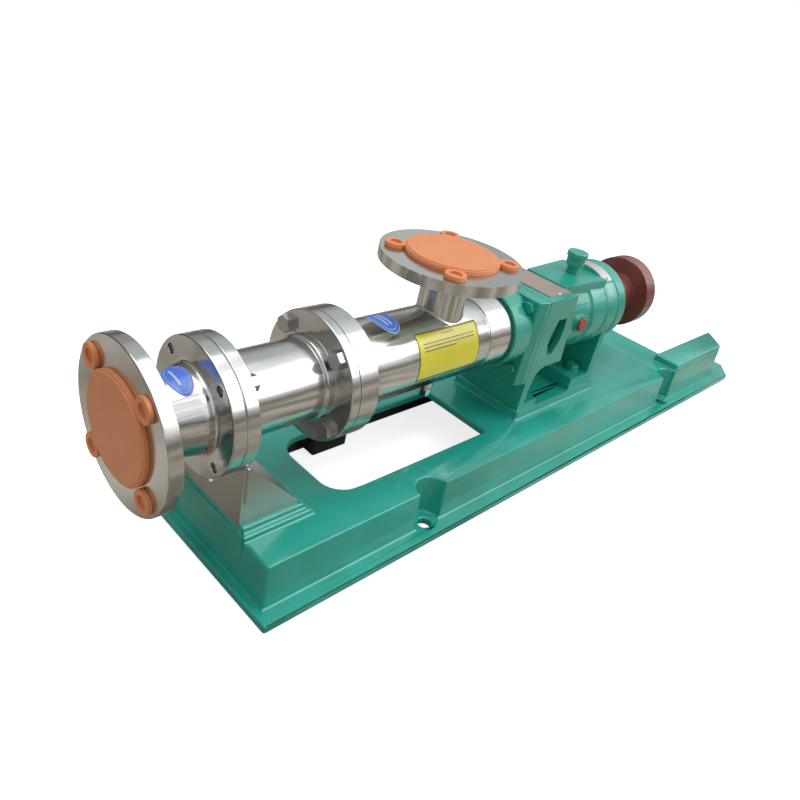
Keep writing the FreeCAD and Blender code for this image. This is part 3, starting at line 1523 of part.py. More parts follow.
def make_slinger_ring():
    slinger = on_axis("slinger_ring", slinger_start())
    inner = S("packing_shaft") / 2
    turned(slinger, [(0, inner), (S("slinger_width"), inner), (S("slinger_width"), inner + 4),
                     (2, inner + 9), (0, inner + 9)])


# Coupling

def make_coupling():
    """Driven half of a jaw coupling, keyed to the shaft's end."""
    coupling = on_axis("coupling_half", hub_front)
    hub = S("coupling_hub") / 2
    disc = S("coupling_disc") / 2
    bore = S("coupling_shaft") / 2
    hub_length = S("coupling_hub_length")
    back = hub_length + S("coupling_disc_width")
    turned(coupling, [(0, bore), (back, bore), (back, disc - 1), (back - 1, disc), (hub_length + 1, disc),
                      (hub_length, disc - 1), (hub_length, hub), (1, hub), (0, hub - 1)])
    jaw = new_sketch(coupling, "YZ_Plane", back)
    near = S("jaw_inner") / 2
    far = S("jaw_outer") / 2
    outline(jaw, [(near * 0.9, -near * 0.44), (far * 0.87, -far * 0.48), (far * 0.98, -far * 0.16),
                  (far * 0.98, far * 0.16), (far * 0.87, far * 0.48), (near * 0.9, near * 0.44)])
    around(coupling, pad(coupling, jaw, S("jaw_length")), "X_Axis", 3)
    keyway = new_sketch(coupling, "XY_Plane")
    rectangle(keyway, -1, -S("key_width") / 2, back + 1, S("key_width") / 2)
    pocket(coupling, keyway, bore + 3.3, reverse=True)
    screw = new_sketch(coupling, "XY_Plane")
    circle(screw, S("key_length") / 2 + 4, 0, S("set_screw") / 2)
    pocket(coupling, screw, hub + 1, reverse=True)


def make_coupling_key():
    key = on_axis("coupling_key", hub_front + 4)
    sketch = new_sketch(key, "XY_Plane", key_floor())
    rectangle(sketch, 0, -S("key_width") / 2, S("key_length"), S("key_width") / 2)
    pad(key, sketch, S("key_height"))


def make_set_screw():
    key_top = key_floor() + S("key_height")
    screw = new_body("coupling_set_screw", hub_front + 4 + S("key_length") / 2, 0, S("axis_height") + key_top)
    sketch = new_sketch(screw, "XY_Plane")
    circle(sketch, 0, 0, S("set_screw") / 2)
    length = S("coupling_hub") / 2 - key_top - 1
    pad(screw, sketch, length)
    socket = new_sketch(screw, "XY_Plane", length)
    rectangle(socket, -2, -2, 2, 2)
    pocket(screw, socket, 4)


# Small parts on the outside

def make_grease_cup():
    top = S("axis_height") + S("block_top")
    x = pedestal_face + S("cup_offset")
    body = new_body("grease_cup_body", x, 0, top)
    stem = S("cup_thread") / 2
    neck = S("cup_neck") / 2
    bowl = S("cup_bowl") / 2
    turned(body, [(0, -12), (stem, -12), (stem, 0), (neck, 0), (neck, 10), (bowl, 14), (bowl, 26),
                  (bowl - 4, 26), (bowl - 4, 31), (0, 31)], axis="V_Axis")
    cap = new_body("grease_cup_cap", x, 0, top + 26.3)
    outer = S("cup_cap") / 2
    turned(cap, [(bowl - 3.7, 0), (outer, 0), (outer, 7), (outer - 1.5, 8.5), (0, 8.5), (0, 5.2),
                 (bowl - 3.7, 5.2)], axis="V_Axis")


def make_oil_plug():
    """Level plug on the near side of the bearing barrel, with a round knurled head."""
    x = pedestal_face + S("lantern_rear") + 33
    face = S("housing_front") / 2 + 3
    plug = new_body("oil_level_plug", x, 0, S("axis_height") + 5)
    thread = new_sketch(plug, "XZ_Plane", face - 10)
    circle(thread, 0, 0, S("plug_thread") / 2)
    pad(plug, thread, 10)
    head = new_sketch(plug, "XZ_Plane", face)
    circle(head, 0, 0, S("plug_thread") / 2 + 3)
    pad(plug, head, 5)


def make_nameplate():
    """Bare plate on the lantern's roof."""
    thick = S("nameplate_thickness")
    half = S("nameplate_length") / 2
    plate = new_body("nameplate", nameplate_middle(), 0, S("axis_height") + S("plate_top"))
    sketch = new_sketch(plate, "XY_Plane")
    wide = S("nameplate_width") / 2
    rectangle(sketch, -wide, -half, wide, half)
    for _, y in nameplate_rivet_places():
        circle(sketch, 0, y, S("rivet") / 2)
    pad(plate, sketch, thick)


def make_name_strip():
    """Bare strip, bent over the barrel behind the block."""
    barrel = float(S("housing_outer")) / 2
    inner = barrel + float(S("name_strip_gap"))
    outer = inner + float(S("nameplate_thickness"))
    width = float(S("name_strip_width"))
    span = math.degrees(float(S("name_strip_length")) / barrel)
    centre = Vector(0, 0, 0)
    up = Vector(0, 0, 1)
    strip = Part.makeCylinder(outer, width, centre, up, span).cut(Part.makeCylinder(inner, width))
    strip.rotate(centre, up, -span / 2)
    # the sector's own axis turns from upright to the pump's axis
    strip.rotate(centre, Vector(1, 0, 1), 180)
    for turn in strip_rivet_turns():
        hole = Part.makeCylinder(float(S("rivet")) / 2, outer + 1, Vector(width / 2, 0, 0))
        hole.rotate(centre, Vector(1, 0, 0), turn)
        strip = strip.cut(hole)
    strip.translate(Vector(float(strip_start()), 0, 0))
    solid_group("name_strip", [strip])


def rivet_shape(shank_start, head_start):
    radius = float(S("rivet")) / 2
    shank = Part.makeCylinder(radius, head_start - shank_start, Vector(0, 0, shank_start))
    head = Part.makeCone(2 * radius, 1.2 * radius, 1.4, Vector(0, 0, head_start))
    return shank.fuse(head).removeSplitter()


def make_rivets():
    """Two drive rivets in the nameplate, standing in the roof, and two that hold the strip to the barrel."""
    thick = float(S("nameplate_thickness"))
    top = float(S("plate_top"))
    rivets = []
    for x, y in nameplate_rivet_places():
        rivet = rivet_shape(top - 6, top + thick)
        rivet.translate(Vector(float(x), float(y), 0))
        rivets.append(rivet)
    barrel = float(S("housing_outer")) / 2
    middle = float(strip_start() + S("name_strip_width") / 2)
    for turn in strip_rivet_turns():
        rivet = rivet_shape(barrel, barrel + float(S("name_strip_gap")) + thick)
        rivet.rotate(Vector(0, 0, 0), Vector(1, 0, 0), turn)
        rivet.translate(Vector(middle, 0, 0))
        rivets.append(rivet)
    solid_group("nameplate_rivets", rivets)


def make_port_cap(body, disc, bore, pitch_circle):
    """Moulded transport cap: disc with a low step, four cupped ears and a spigot in the port."""
    thick = S("cap_thickness")
    reach = pitch_circle / 2 * DIAGONAL
    ear = S("cap_ear")
    base = new_sketch(body, "XY_Plane")
    circle(base, 0, 0, disc / 2)
    pad(body, base, thick)
    for across in (-1, 1):
        for along in (-1, 1):
            tab = new_sketch(body, "XY_Plane")
            circle(tab, across * reach, along * reach, ear)
            pad(body, tab, thick)
    step = new_sketch(body, "XY_Plane")
    circle(step, 0, 0, disc / 2 - S("cap_rim"))
    pad(body, step, thick + S("cap_step"))
    spigot = new_sketch(body, "XY_Plane")
    circle(spigot, 0, 0, bore / 2 - S("running_gap"))
    pad(body, spigot, S("cap_spigot"), reverse=True)
    hollow = new_sketch(body, "XY_Plane", -S("cap_spigot"))
    circle(hollow, 0, 0, bore / 2 - S("running_gap") - 3)
    pocket(body, hollow, S("cap_spigot") + thick + S("cap_step") - 3, reverse=True)
    cups = new_sketch(body, "XY_Plane", S("cap_floor"))
    four_circles(cups, reach, reach, S("cap_hole") / 2)
    pocket(body, cups, thick, reverse=True)


def make_port_caps():
    discharge = on_axis("discharge_cap", S("discharge_face"))
    discharge.Placement.Rotation = Rotation(Vector(0, 1, 0), -90)
    make_port_cap(discharge, S("discharge_cap_disc"), S("discharge_bore"), S("discharge_circle"))
    suction = new_body("suction_cap", branch_x, 0, S("axis_height") + S("branch_face"))
    make_port_cap(suction, S("suction_cap_disc"), S("branch_bore"), S("suction_circle"))


def check_and_write():
    """Stops if any object failed, then writes each piece under its own name."""
    doc.recompute()
    failed = [item.Name for item in doc.Objects if "Invalid" in item.State or "Error" in item.State]
    if failed:
        raise ValueError("failed objects: " + ", ".join(failed))
    for item in doc.Objects:
        if item.TypeId not in ("PartDesign::Body", "Part::Feature"):
            continue
        if item.Shape.isNull() or not item.Shape.isValid():
            raise ValueError("bad shape: " + item.Label)
        item.Shape.exportStep(f"parts/{item.Label}.step")


make_base()
make_saddle()
make_saddle_screws()
make_discharge_body()
make_stator_tube()
make_stator_liner()
make_suction_chamber()
make_drain_plug()
make_drain_washer()
make_flange_bolts()
make_rotor()
make_joint_pin("rotor_joint_pin", rotor_joint_x, S("eccentricity"), S("rotor_head"))
make_joint_sleeve("rotor_joint_sleeve", rotor_joint_x, S("eccentricity"), S("rotor_head"), S("running_gap"))
make_connecting_rod()
make_joint_pin("shaft_joint_pin", shaft_joint_x, 0, S("packing_shaft"))
make_joint_sleeve("shaft_joint_sleeve", shaft_joint_x, 0, S("packing_shaft"), size(0))
make_stuffing_box()
make_o_ring()
make_packing_rings()
make_lantern_ring()
make_gland_follower()
make_gland_studs()
make_gland_nuts()
make_seal_adapter()
make_adapter_bolts()
make_chamber_screws()
make_pedestal()
make_pedestal_bolts()
make_front_cover()
make_rear_cover()
make_cover_screws()
make_lip_seal("front_lip_seal", housing_face - 6 - S("lip_seal_width"), S("shaft_collar") / 2)
make_lip_seal("rear_lip_seal", cover_back - S("lip_seal_width"), S("packing_shaft") / 2)
make_bearing("front", front_bearing_x)
make_bearing("rear", rear_bearing_x)
make_bearing_clamping()
make_drive_shaft()
make_slinger_ring()
make_coupling()
make_coupling_key()
make_set_screw()
make_grease_cup()
make_oil_plug()
make_nameplate()
make_name_strip()
make_rivets()
make_port_caps()
check_and_write()
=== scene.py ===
import math

import bmesh
import bpy
from mathutils import Matrix, Vector, noise
from mathutils.bvhtree import BVHTree


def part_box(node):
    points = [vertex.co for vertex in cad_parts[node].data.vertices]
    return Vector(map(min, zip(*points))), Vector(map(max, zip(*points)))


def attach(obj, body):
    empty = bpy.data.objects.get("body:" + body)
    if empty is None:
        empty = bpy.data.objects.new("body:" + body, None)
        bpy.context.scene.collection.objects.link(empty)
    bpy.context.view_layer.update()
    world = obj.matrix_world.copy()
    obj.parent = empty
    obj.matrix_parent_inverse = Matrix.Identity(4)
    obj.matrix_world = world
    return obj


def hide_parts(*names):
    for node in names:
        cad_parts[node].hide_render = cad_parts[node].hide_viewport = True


# Progressive cavity pump on its cast base, dressed in the order in which it is put together.
# +X runs along the pump's axis to the drive end, +Z is up, and everything is in metres.
# AXIS is the height of the pump's axis over the floor.

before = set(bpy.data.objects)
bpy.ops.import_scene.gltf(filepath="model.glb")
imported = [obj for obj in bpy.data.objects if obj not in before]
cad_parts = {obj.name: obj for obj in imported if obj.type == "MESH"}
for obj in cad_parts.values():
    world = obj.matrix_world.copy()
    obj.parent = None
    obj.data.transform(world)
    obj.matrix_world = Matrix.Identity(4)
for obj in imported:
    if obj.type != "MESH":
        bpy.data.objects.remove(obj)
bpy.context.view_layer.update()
AXIS = 0.210


# Camera
# The photograph looks down at the discharge end from the near side, and the camera
# was held about 13 degrees out of level. Place and radians come from the two port flanges.

eye = Vector((-0.9452, -0.5245, 0.6190))
yaw, pitch, roll = 0.684, 0.534, 0.229
focal_px, photo_px = 709.3, 800
ahead = Vector((math.cos(pitch) * math.cos(yaw), math.cos(pitch) * math.sin(yaw), -math.sin(pitch)))
level = ahead.cross(Vector((0, 0, 1))).normalized()
upright = level.cross(ahead)
right = level * math.cos(roll) + upright * math.sin(roll)
top = upright * math.cos(roll) - level * math.sin(roll)
camera_data = bpy.data.cameras.new("camera")
camera_data.sensor_width = 36
camera_data.lens = focal_px / photo_px * camera_data.sensor_width
camera = bpy.data.objects.new("camera", camera_data)
camera.matrix_world = Matrix((
    (right.x, top.x, -ahead.x, eye.x),
    (right.y, top.y, -ahead.y, eye.y),
    (right.z, top.z, -ahead.z, eye.z),
    (0, 0, 0, 1)))
bpy.context.scene.collection.objects.link(camera)
bpy.context.scene.camera = camera


# Base
# One grey iron casting, sand cast and sprayed with a thick green enamel. The sand leaves
# a fine grain, the enamel pulls it smooth and rounds every edge.

def linear(hex_colour):
    """Turns an sRGB hex value into the linear colour that the shader takes."""
    def channel(pair):
        value = int(pair, 16) / 255
        return value / 12.92 if value <= 0.04045 else ((value + 0.055) / 1.055) ** 2.4
    digits = hex_colour.lstrip("#")
    return (*(channel(digits[at:at + 2]) for at in (0, 2, 4)), 1.0)


def add(tree, kind, sockets=None, **settings):
    """Adds a shader node, sets its properties, and fills or links its sockets."""
    made = tree.nodes.new(kind)
    for name, value in settings.items():
        setattr(made, name, value)
    for name, value in (sockets or {}).items():
        if isinstance(value, bpy.types.NodeSocket):
            tree.links.new(value, made.inputs[name])
        else:
            made.inputs[name].default_value = value
    return made


def new_finish(name):
    """An empty material, its node tree and the position on the object in metres."""
    material = bpy.data.materials.new(name)
    material.use_nodes = True
    tree = material.node_tree
    tree.nodes.clear()
    place = add(tree, "ShaderNodeTexCoord").outputs["Object"]
    return material, tree, place


def per_metre(millimetres):
    """Texture scale whose features are about that many millimetres across."""
    return 1000 / millimetres


def painted_iron(name, shade, light, scuff, grain_mm=1.4, gloss=0.30, painted_shade_inside=None):
    """Enamel over sand-cast iron: soft mottling, orange peel, grain and a few rubbed spots.

    Last argument: a hollow under the deck whose faces are painted near-black as painted shade (half
    length, half width, height), the place of its bolts, and the radius round each bolt that keeps the
    enamel."""
    material, tree, place = new_finish(name)
    mottle = add(tree, "ShaderNodeTexNoise", {"Vector": place, "Scale": per_metre(95), "Detail": 3.0})
    tone = add(tree, "ShaderNodeValToRGB", {"Fac": mottle.outputs["Fac"]})
    tone.color_ramp.elements[0].position = 0.35
    tone.color_ramp.elements[0].color = linear(shade)
    tone.color_ramp.elements[1].position = 0.68
    tone.color_ramp.elements[1].color = linear(light)
    spots = add(tree, "ShaderNodeTexNoise", {"Vector": place, "Scale": per_metre(7), "Detail": 5.0,
                                             "Roughness": 0.62})
    patches = add(tree, "ShaderNodeTexNoise", {"Vector": place, "Scale": per_metre(120), "Detail": 1.0})
    together = add(tree, "ShaderNodeMath", {0: spots.outputs["Fac"], 1: patches.outputs["Fac"]},
                   operation="MULTIPLY")
    rubbed = add(tree, "ShaderNodeMapRange", {"Value": together.outputs["Value"], "From Min": 0.44,
                                              "From Max": 0.50, "To Max": 0.7})
    colour = add(tree, "ShaderNodeMix", {"Factor": rubbed.outputs["Result"], "A": tone.outputs["Color"],
                                         "B": linear(scuff)}, data_type="RGBA")
    if painted_shade_inside:
        hollow, bolt, pocket = painted_shade_inside
        folded = add(tree, "ShaderNodeVectorMath", {0: place}, operation="ABSOLUTE")
        share = add(tree, "ShaderNodeVectorMath", {0: folded.outputs["Vector"], 1: hollow},
                    operation="DIVIDE")
        sides = add(tree, "ShaderNodeSeparateXYZ", {"Vector": share.outputs["Vector"]})
        plan = add(tree, "ShaderNodeMath", {0: sides.outputs["X"], 1: sides.outputs["Y"]},
                   operation="MAXIMUM")
        farthest = add(tree, "ShaderNodeMath", {0: plan.outputs["Value"], 1: sides.outputs["Z"]},
                       operation="MAXIMUM")
        within = add(tree, "ShaderNodeMath", {0: farthest.outputs["Value"], 1: 1.0},
                     operation="LESS_THAN")
        flat = add(tree, "ShaderNodeVectorMath", {0: folded.outputs["Vector"], 1: (1, 1, 0)},
                   operation="MULTIPLY")
        off = add(tree, "ShaderNodeVectorMath", {0: flat.outputs["Vector"], 1: bolt},
                  operation="DISTANCE")
        clear = add(tree, "ShaderNodeMath", {0: off.outputs["Value"], 1: pocket},
                    operation="GREATER_THAN")
        painted_shade = add(tree, "ShaderNodeMath", {0: within.outputs["Value"], 1: clear.outputs["Value"]},
                     operation="MULTIPLY")
        # Painted shade: faces inside the hollow, away from the bolts, are made near-black, where shade
        # falls under the deck.
        colour = add(tree, "ShaderNodeMix", {"Factor": painted_shade.outputs["Value"],
                                             "A": colour.outputs["Result"], "B": linear("#1B2623")},
                     data_type="RGBA")
    sheen = add(tree, "ShaderNodeMapRange", {"Value": mottle.outputs["Fac"], "To Min": gloss,
                                             "To Max": gloss + 0.16})
    grain = add(tree, "ShaderNodeTexNoise", {"Vector": place, "Scale": per_metre(grain_mm), "Detail": 2.0})
    peel = add(tree, "ShaderNodeTexNoise", {"Vector": place, "Scale": per_metre(6), "Detail": 2.0})
    fine = add(tree, "ShaderNodeBump", {"Height": grain.outputs["Fac"], "Strength": 0.22,
                                        "Distance": 0.0004})
    wavy = add(tree, "ShaderNodeBump", {"Height": peel.outputs["Fac"], "Strength": 0.30,
                                        "Distance": 0.0012, "Normal": fine.outputs["Normal"]})
    surface = add(tree, "ShaderNodeBsdfPrincipled", {
        "Base Color": colour.outputs["Result"], "Roughness": sheen.outputs["Result"],
        "Specular IOR Level": 0.3, "Normal": wavy.outputs["Normal"], "Coat Weight": 0.7,
        "Coat Roughness": 0.12})
    add(tree, "ShaderNodeOutputMaterial", {"Surface": surface.outputs["BSDF"]})
    return material


def link(piece, body):
    """Puts a finished piece into the scene on its body."""
    if piece.name not in bpy.context.scene.collection.objects:
        bpy.context.scene.collection.objects.link(piece)
    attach(piece, body)
    return piece


def smooth_by_angle(mesh, angle):
    """Shades the mesh smooth but keeps every edge sharper than the angle crisp."""
    for face in mesh.polygons:
        face.use_smooth = True
    mesh.set_sharp_from_angle(angle=angle)


def draw_back(piece, node, radius):
    """Applies the piece's rounding, then pulls points that left the CAD shape back onto it.

    A round of that radius stays within half of it from the shape; a point farther off is a stray."""
    bpy.context.scene.collection.objects.link(piece)
    shown = piece.evaluated_get(bpy.context.evaluated_depsgraph_get())
    rounded = bpy.data.meshes.new_from_object(shown)
    original = bmesh.new()
    original.from_mesh(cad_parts[node].data)
    shape = BVHTree.FromBMesh(original)
    original.free()
    low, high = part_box(node)
    for point in rounded.vertices:
        nearest, _, _, distance = shape.find_nearest(point.co)
        if distance > 0.5 * radius:
            point.co = nearest
        point.co = [min(max(at, least), most) for at, least, most in zip(point.co, low, high)]
    piece.modifiers.clear()
    piece.data = rounded


def rounded_copy(node, body, material, radius, steps=3, smooth_casting=False):
    """The CAD shape with its edges rounded like the real piece's; it stands for the node.

    radius: the most that an edge may get, because small faces hold it back; smooth_casting: every
    edge gets the whole radius, and the few corner points that overshoot are drawn back."""
    edge_angle = math.radians(32)    # between two faces, from which their edge is rounded
    same_point, same_plane = 2e-6, math.radians(0.6)
    broad_face = 0.01                # in square metres: outlines this large are cut up first
    mesh = bmesh.new()
    mesh.from_mesh(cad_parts[node].data)
    bmesh.ops.remove_doubles(mesh, verts=mesh.verts, dist=same_point)
    bmesh.ops.dissolve_limit(mesh, angle_limit=same_plane, verts=mesh.verts, edges=mesh.edges)
    if smooth_casting:
        broad = [face for face in mesh.faces if face.calc_area() > broad_face]
        bmesh.ops.connect_verts_concave(mesh, faces=broad)
    data = bpy.data.meshes.new(node + "_skin")
    mesh.to_mesh(data)
    mesh.free()
    data.materials.clear()
    data.materials.append(material)
    smooth_by_angle(data, edge_angle)
    piece = bpy.data.objects.new(node + "_skin", data)
    rounding = piece.modifiers.new("rounded edges", "BEVEL")
    rounding.width = radius
    rounding.segments = steps
    rounding.limit_method = "ANGLE"
    rounding.angle_limit = edge_angle
    rounding.harden_normals = True
    if smooth_casting:
        rounding.use_clamp_overlap = False
        draw_back(piece, node, radius)
    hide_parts(node)
    return link(piece, body)


# The hollow under the deck gets painted shade, near-black, except round the foundation bolts.
under_deck = (0.397, 0.1085, 0.055)
foundation_bolt, pocket_radius = (0.335, 0.115, 0), 0.0275
base_green = painted_iron("green enamel on cast iron", "#1E9F8E", "#2BB2A1", "#5FA89B",
                          painted_shade_inside=(under_deck, foundation_bolt, pocket_radius))
rounded_copy("base_plate", "pump", base_green, 0.0034, smooth_casting=True)


# Saddle support
# Bent from 5 mm stainless plate, with a vee that carries the stator's front flange, and
# welded along the folds. The sheet keeps its dull mill finish.

def dull_sheet(name, colour, roughness):
    """Cold-rolled stainless sheet: grey, half matt, with faint roll marks and handling stains."""
    material, tree, place = new_finish(name)
    rolled = add(tree, "ShaderNodeMapping", {"Vector": place, "Scale": (4.0, 40.0, 1.0)})
    marks = add(tree, "ShaderNodeTexNoise", {"Vector": rolled.outputs["Vector"], "Scale": per_metre(30),
                                             "Detail": 4.0})
    stains = add(tree, "ShaderNodeTexNoise", {"Vector": place, "Scale": per_metre(40), "Detail": 3.0})
    tone = add(tree, "ShaderNodeMix", {"Factor": stains.outputs["Fac"], "A": linear(colour),
                                       "B": linear("#BDBBB6")}, data_type="RGBA")
    dull = add(tree, "ShaderNodeMapRange", {"Value": stains.outputs["Fac"], "To Min": roughness - 0.08,
                                            "To Max": roughness + 0.1})
    relief = add(tree, "ShaderNodeBump", {"Height": marks.outputs["Fac"], "Strength": 0.15,
                                          "Distance": 0.0003})
    surface = add(tree, "ShaderNodeBsdfPrincipled", {
        "Base Color": tone.outputs["Result"], "Metallic": 1.0, "Roughness": dull.outputs["Result"],
        "Normal": relief.outputs["Normal"]})
    add(tree, "ShaderNodeOutputMaterial", {"Surface": surface.outputs["BSDF"]})
    return material


mill_sheet = dull_sheet("mill-finish stainless sheet", "#A9A8A4", 0.36)
rounded_copy("support_saddle", "pump", mill_sheet, 0.0007, 2)


def weld_bead(name, points, radius, ripple, body, material):
    """A laid weld: a round run along the points, half sunk in the sheet and thin at both ends.

    ripple: length of one ripple, which takes about five rings of the mesh."""
    mesh = bmesh.new()
    sides = 10
    rings = []
    path = [Vector(point) for point in points]
    run = []
    for start, end in zip(path, path[1:]):
        steps = max(2, round((end - start).length / (ripple / 5)))
        run += [(start.lerp(end, step / steps), (end - start).normalized()) for step in range(steps)]
    run.append((path[-1], (path[-1] - path[-2]).normalized()))
    travelled = 0.0
    previous = run[0][0]
    for at, (centre, along) in enumerate(run):
        travelled += (centre - previous).length
        previous = centre
        across = along.orthogonal().normalized()
        other = along.cross(across)
        wave = 0.5 + 0.5 * math.cos(2 * math.pi * (travelled / ripple % 1.0))
        size = radius * (0.82 + 0.18 * wave) * (1 + 0.08 * noise.noise(centre * 400))
        if at in (0, len(run) - 1):
            size *= 0.35
        rings.append([mesh.verts.new(centre + (across * math.cos(turn) + other * math.sin(turn)) * size)
                      for turn in (2 * math.pi * side / sides for side in range(sides))])
    for ring, following in zip(rings, rings[1:]):
        for side in range(sides):
            mesh.faces.new((ring[side], ring[(side + 1) % sides],
                            following[(side + 1) % sides], following[side]))
    mesh.faces.new(reversed(rings[0]))
    mesh.faces.new(rings[-1])
    bmesh.ops.recalc_face_normals(mesh, faces=mesh.faces)
    data = bpy.data.meshes.new(name)
    mesh.to_mesh(data)
    mesh.free()
    data.materials.append(material)
    smooth_by_angle(data, math.radians(50))
    return link(bpy.data.objects.new(name, data), body)


weld_metal = dull_sheet("as-laid stainless weld", "#A8A39C", 0.34)
saddle_low, saddle_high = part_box("support_saddle")
from_front, from_middle, from_top, from_foot = 0.0052, 0.0595, 0.002, 0.030
bead_radius, bead_ripple = 0.0024, 0.0045
for side in (-1, 1):
    weld_bead("saddle_weld_near" if side < 0 else "saddle_weld_far",
              [(saddle_low.x + from_front, side * from_middle, saddle_high.z - from_top),
               (saddle_low.x + from_front, side * from_middle, saddle_low.z + from_foot)],
              bead_radius, bead_ripple, "pump", weld_metal)


# Discharge body, stator tube and suction chamber
# Stainless flanges and tubes, turned and welded, then polished on a belt. The turning
# leaves fine rings round the axis, which draw the reflections out.

def polished_stainless(name, colour, roughness, lines_mm, strength):
    """Polished stainless with fine rings round the pump's axis, each a little different."""
    material, tree, place = new_finish(name)
    parts = add(tree, "ShaderNodeSeparateXYZ", {"Vector": place})
    height = add(tree, "ShaderNodeMath", {0: parts.outputs["Z"], 1: AXIS}, operation="SUBTRACT")
    flat = add(tree, "ShaderNodeCombineXYZ", {"Y": parts.outputs["Y"], "Z": height.outputs["Value"]})
    radius = add(tree, "ShaderNodeVectorMath", {0: flat.outputs["Vector"]}, operation="LENGTH")
    lathe = add(tree, "ShaderNodeCombineXYZ", {"X": parts.outputs["X"], "Y": radius.outputs["Value"]})
    rings = add(tree, "ShaderNodeTexNoise", {"Vector": lathe.outputs["Vector"],
                                             "Scale": per_metre(lines_mm), "Detail": 3.0})
    clouds = add(tree, "ShaderNodeTexNoise", {"Vector": place, "Scale": per_metre(55), "Detail": 3.0})
    tone = add(tree, "ShaderNodeMix", {"Factor": clouds.outputs["Fac"], "A": linear(colour),
                                       "B": linear("#D6D6D4")}, data_type="RGBA")
    polish = add(tree, "ShaderNodeMapRange", {"Value": clouds.outputs["Fac"], "To Min": roughness - 0.05,
                                              "To Max": roughness + 0.07})
    buffed = add(tree, "ShaderNodeTexNoise", {"Vector": place, "Scale": per_metre(38), "Detail": 1.0})
    waves = add(tree, "ShaderNodeBump", {"Height": buffed.outputs["Fac"], "Strength": 0.35,
                                         "Distance": 0.0012})
    relief = add(tree, "ShaderNodeBump", {"Height": rings.outputs["Fac"], "Strength": strength,
                                          "Distance": 0.0002, "Normal": waves.outputs["Normal"]})
    surface = add(tree, "ShaderNodeBsdfPrincipled", {
        "Base Color": tone.outputs["Result"], "Metallic": 1.0, "Roughness": polish.outputs["Result"],
        "Normal": relief.outputs["Normal"]})
    add(tree, "ShaderNodeOutputMaterial", {"Surface": surface.outputs["BSDF"]})
    return material


turned_steel = polished_stainless("turned and polished stainless", "#C4C3C0", 0.14, 0.8, 0.2)
rounded_copy("discharge_body", "pump", turned_steel, 0.0008, 2)
rounded_copy("stator_tube", "pump", turned_steel, 0.0006, 2)
rounded_copy("suction_chamber", "pump", turned_steel, 0.0008, 2)


def paint(material, *nodes):
    """Gives CAD nodes, kept as they are, their real finish."""
    for node in nodes:
        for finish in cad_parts[node].material_slots:
            finish.material = material


paint(turned_steel, "drain_plug", "stuffing_box", "gland_follower", "drive_shaft", "connecting_rod",
      "shaft_joint_sleeve", "rotor_joint_sleeve")


# Labels on the stainless
# Printed vinyl, cut to shape and pressed on: two blue ovals and a yellow rectangle with a
# black line round its edge. None has text on it, only plain lines.

def printed_vinyl(name, colour, roughness=0.28):
    """Glossy vinyl film with the faint unevenness of the glue under it."""
    material, tree, place = new_finish(name)
    ripples = add(tree, "ShaderNodeTexNoise", {"Vector": place, "Scale": per_metre(14), "Detail": 2.0})
    tint = add(tree, "ShaderNodeMix", {"Factor": ripples.outputs["Fac"], "A": linear(colour[0]),
                                       "B": linear(colour[1])}, data_type="RGBA")
    relief = add(tree, "ShaderNodeBump", {"Height": ripples.outputs["Fac"], "Strength": 0.12,
                                          "Distance": 0.0004})
    surface = add(tree, "ShaderNodeBsdfPrincipled", {
        "Base Color": tint.outputs["Result"], "Roughness": roughness, "Normal": relief.outputs["Normal"],
        "Coat Weight": 0.3, "Coat Roughness": 0.1})
    add(tree, "ShaderNodeOutputMaterial", {"Surface": surface.outputs["BSDF"]})
    return material


def film_on_tube(name, middle, half, tube, lift, oval, material):
    """A film that follows a round tube or cone about the pump's axis.

    middle: x and degrees above the near side; half: half width along x and half arc;
    tube: radius at the middle and its growth per metre along x; lift: height over the tube."""
    mesh = bmesh.new()
    columns, rows = 40, 26
    grid = {}
    for column in range(columns + 1):
        for row in range(rows + 1):
            u = 2 * column / columns - 1
            v = 2 * row / rows - 1
            if oval:
                u, v = u * math.sqrt(1 - v * v / 2), v * math.sqrt(1 - u * u / 2)
            turn = math.radians(middle[1]) + v * half[1] / tube[0]
            reach = tube[0] + u * half[0] * tube[1] + lift
            grid[column, row] = mesh.verts.new((middle[0] + u * half[0], -reach * math.cos(turn),
                                                AXIS + reach * math.sin(turn)))
    for column in range(columns):
        for row in range(rows):
            mesh.faces.new((grid[column, row], grid[column + 1, row],
                            grid[column + 1, row + 1], grid[column, row + 1]))
    data = bpy.data.meshes.new(name)
    mesh.to_mesh(data)
    mesh.free()
    data.materials.append(material)
    for face in data.polygons:
        face.use_smooth = True
    piece = bpy.data.objects.new(name, data)
    film = piece.modifiers.new("film", "SOLIDIFY")
    film.thickness = 0.00008
    film.offset = 0
    return link(piece, "pump")


def oval_sticker(name, middle, half, tube):
    """Blue oval with a pale edge, a pale line inside it and two pale bars across it."""
    pale = printed_vinyl(name + " pale print", ("#B4CBF8", "#C8D8FA"))
    blue = printed_vinyl(name + " blue print", ("#3F72E2", "#5686EA"))
    for layer, (share, shade) in enumerate(((1.0, pale), (0.95, blue), (0.80, pale), (0.76, blue))):
        film_on_tube(f"{name}_layer_{layer}", middle, (half[0] * share, half[1] * share), tube,
                     PRINT_LIFTS[layer], True, shade)
    for line in (-1, 1):
        film_on_tube(f"{name}_rule_{line}", (middle[0] + line * half[0] * 0.2, middle[1]),
                     (half[0] * 0.09, half[1] * 0.5), tube, PRINT_LIFTS[4], False, pale)


PRINT_LIFTS = (0.00006, 0.00016, 0.00026, 0.00036, 0.00046)
BARREL, NECK = (0.053, 0.0), (0.0447, 0.232)
oval_sticker("chamber_sticker", (-0.3685, 91), (0.0166, 0.0277), BARREL)
oval_sticker("neck_sticker", (-0.641, 84), (0.0120, 0.0245), NECK)

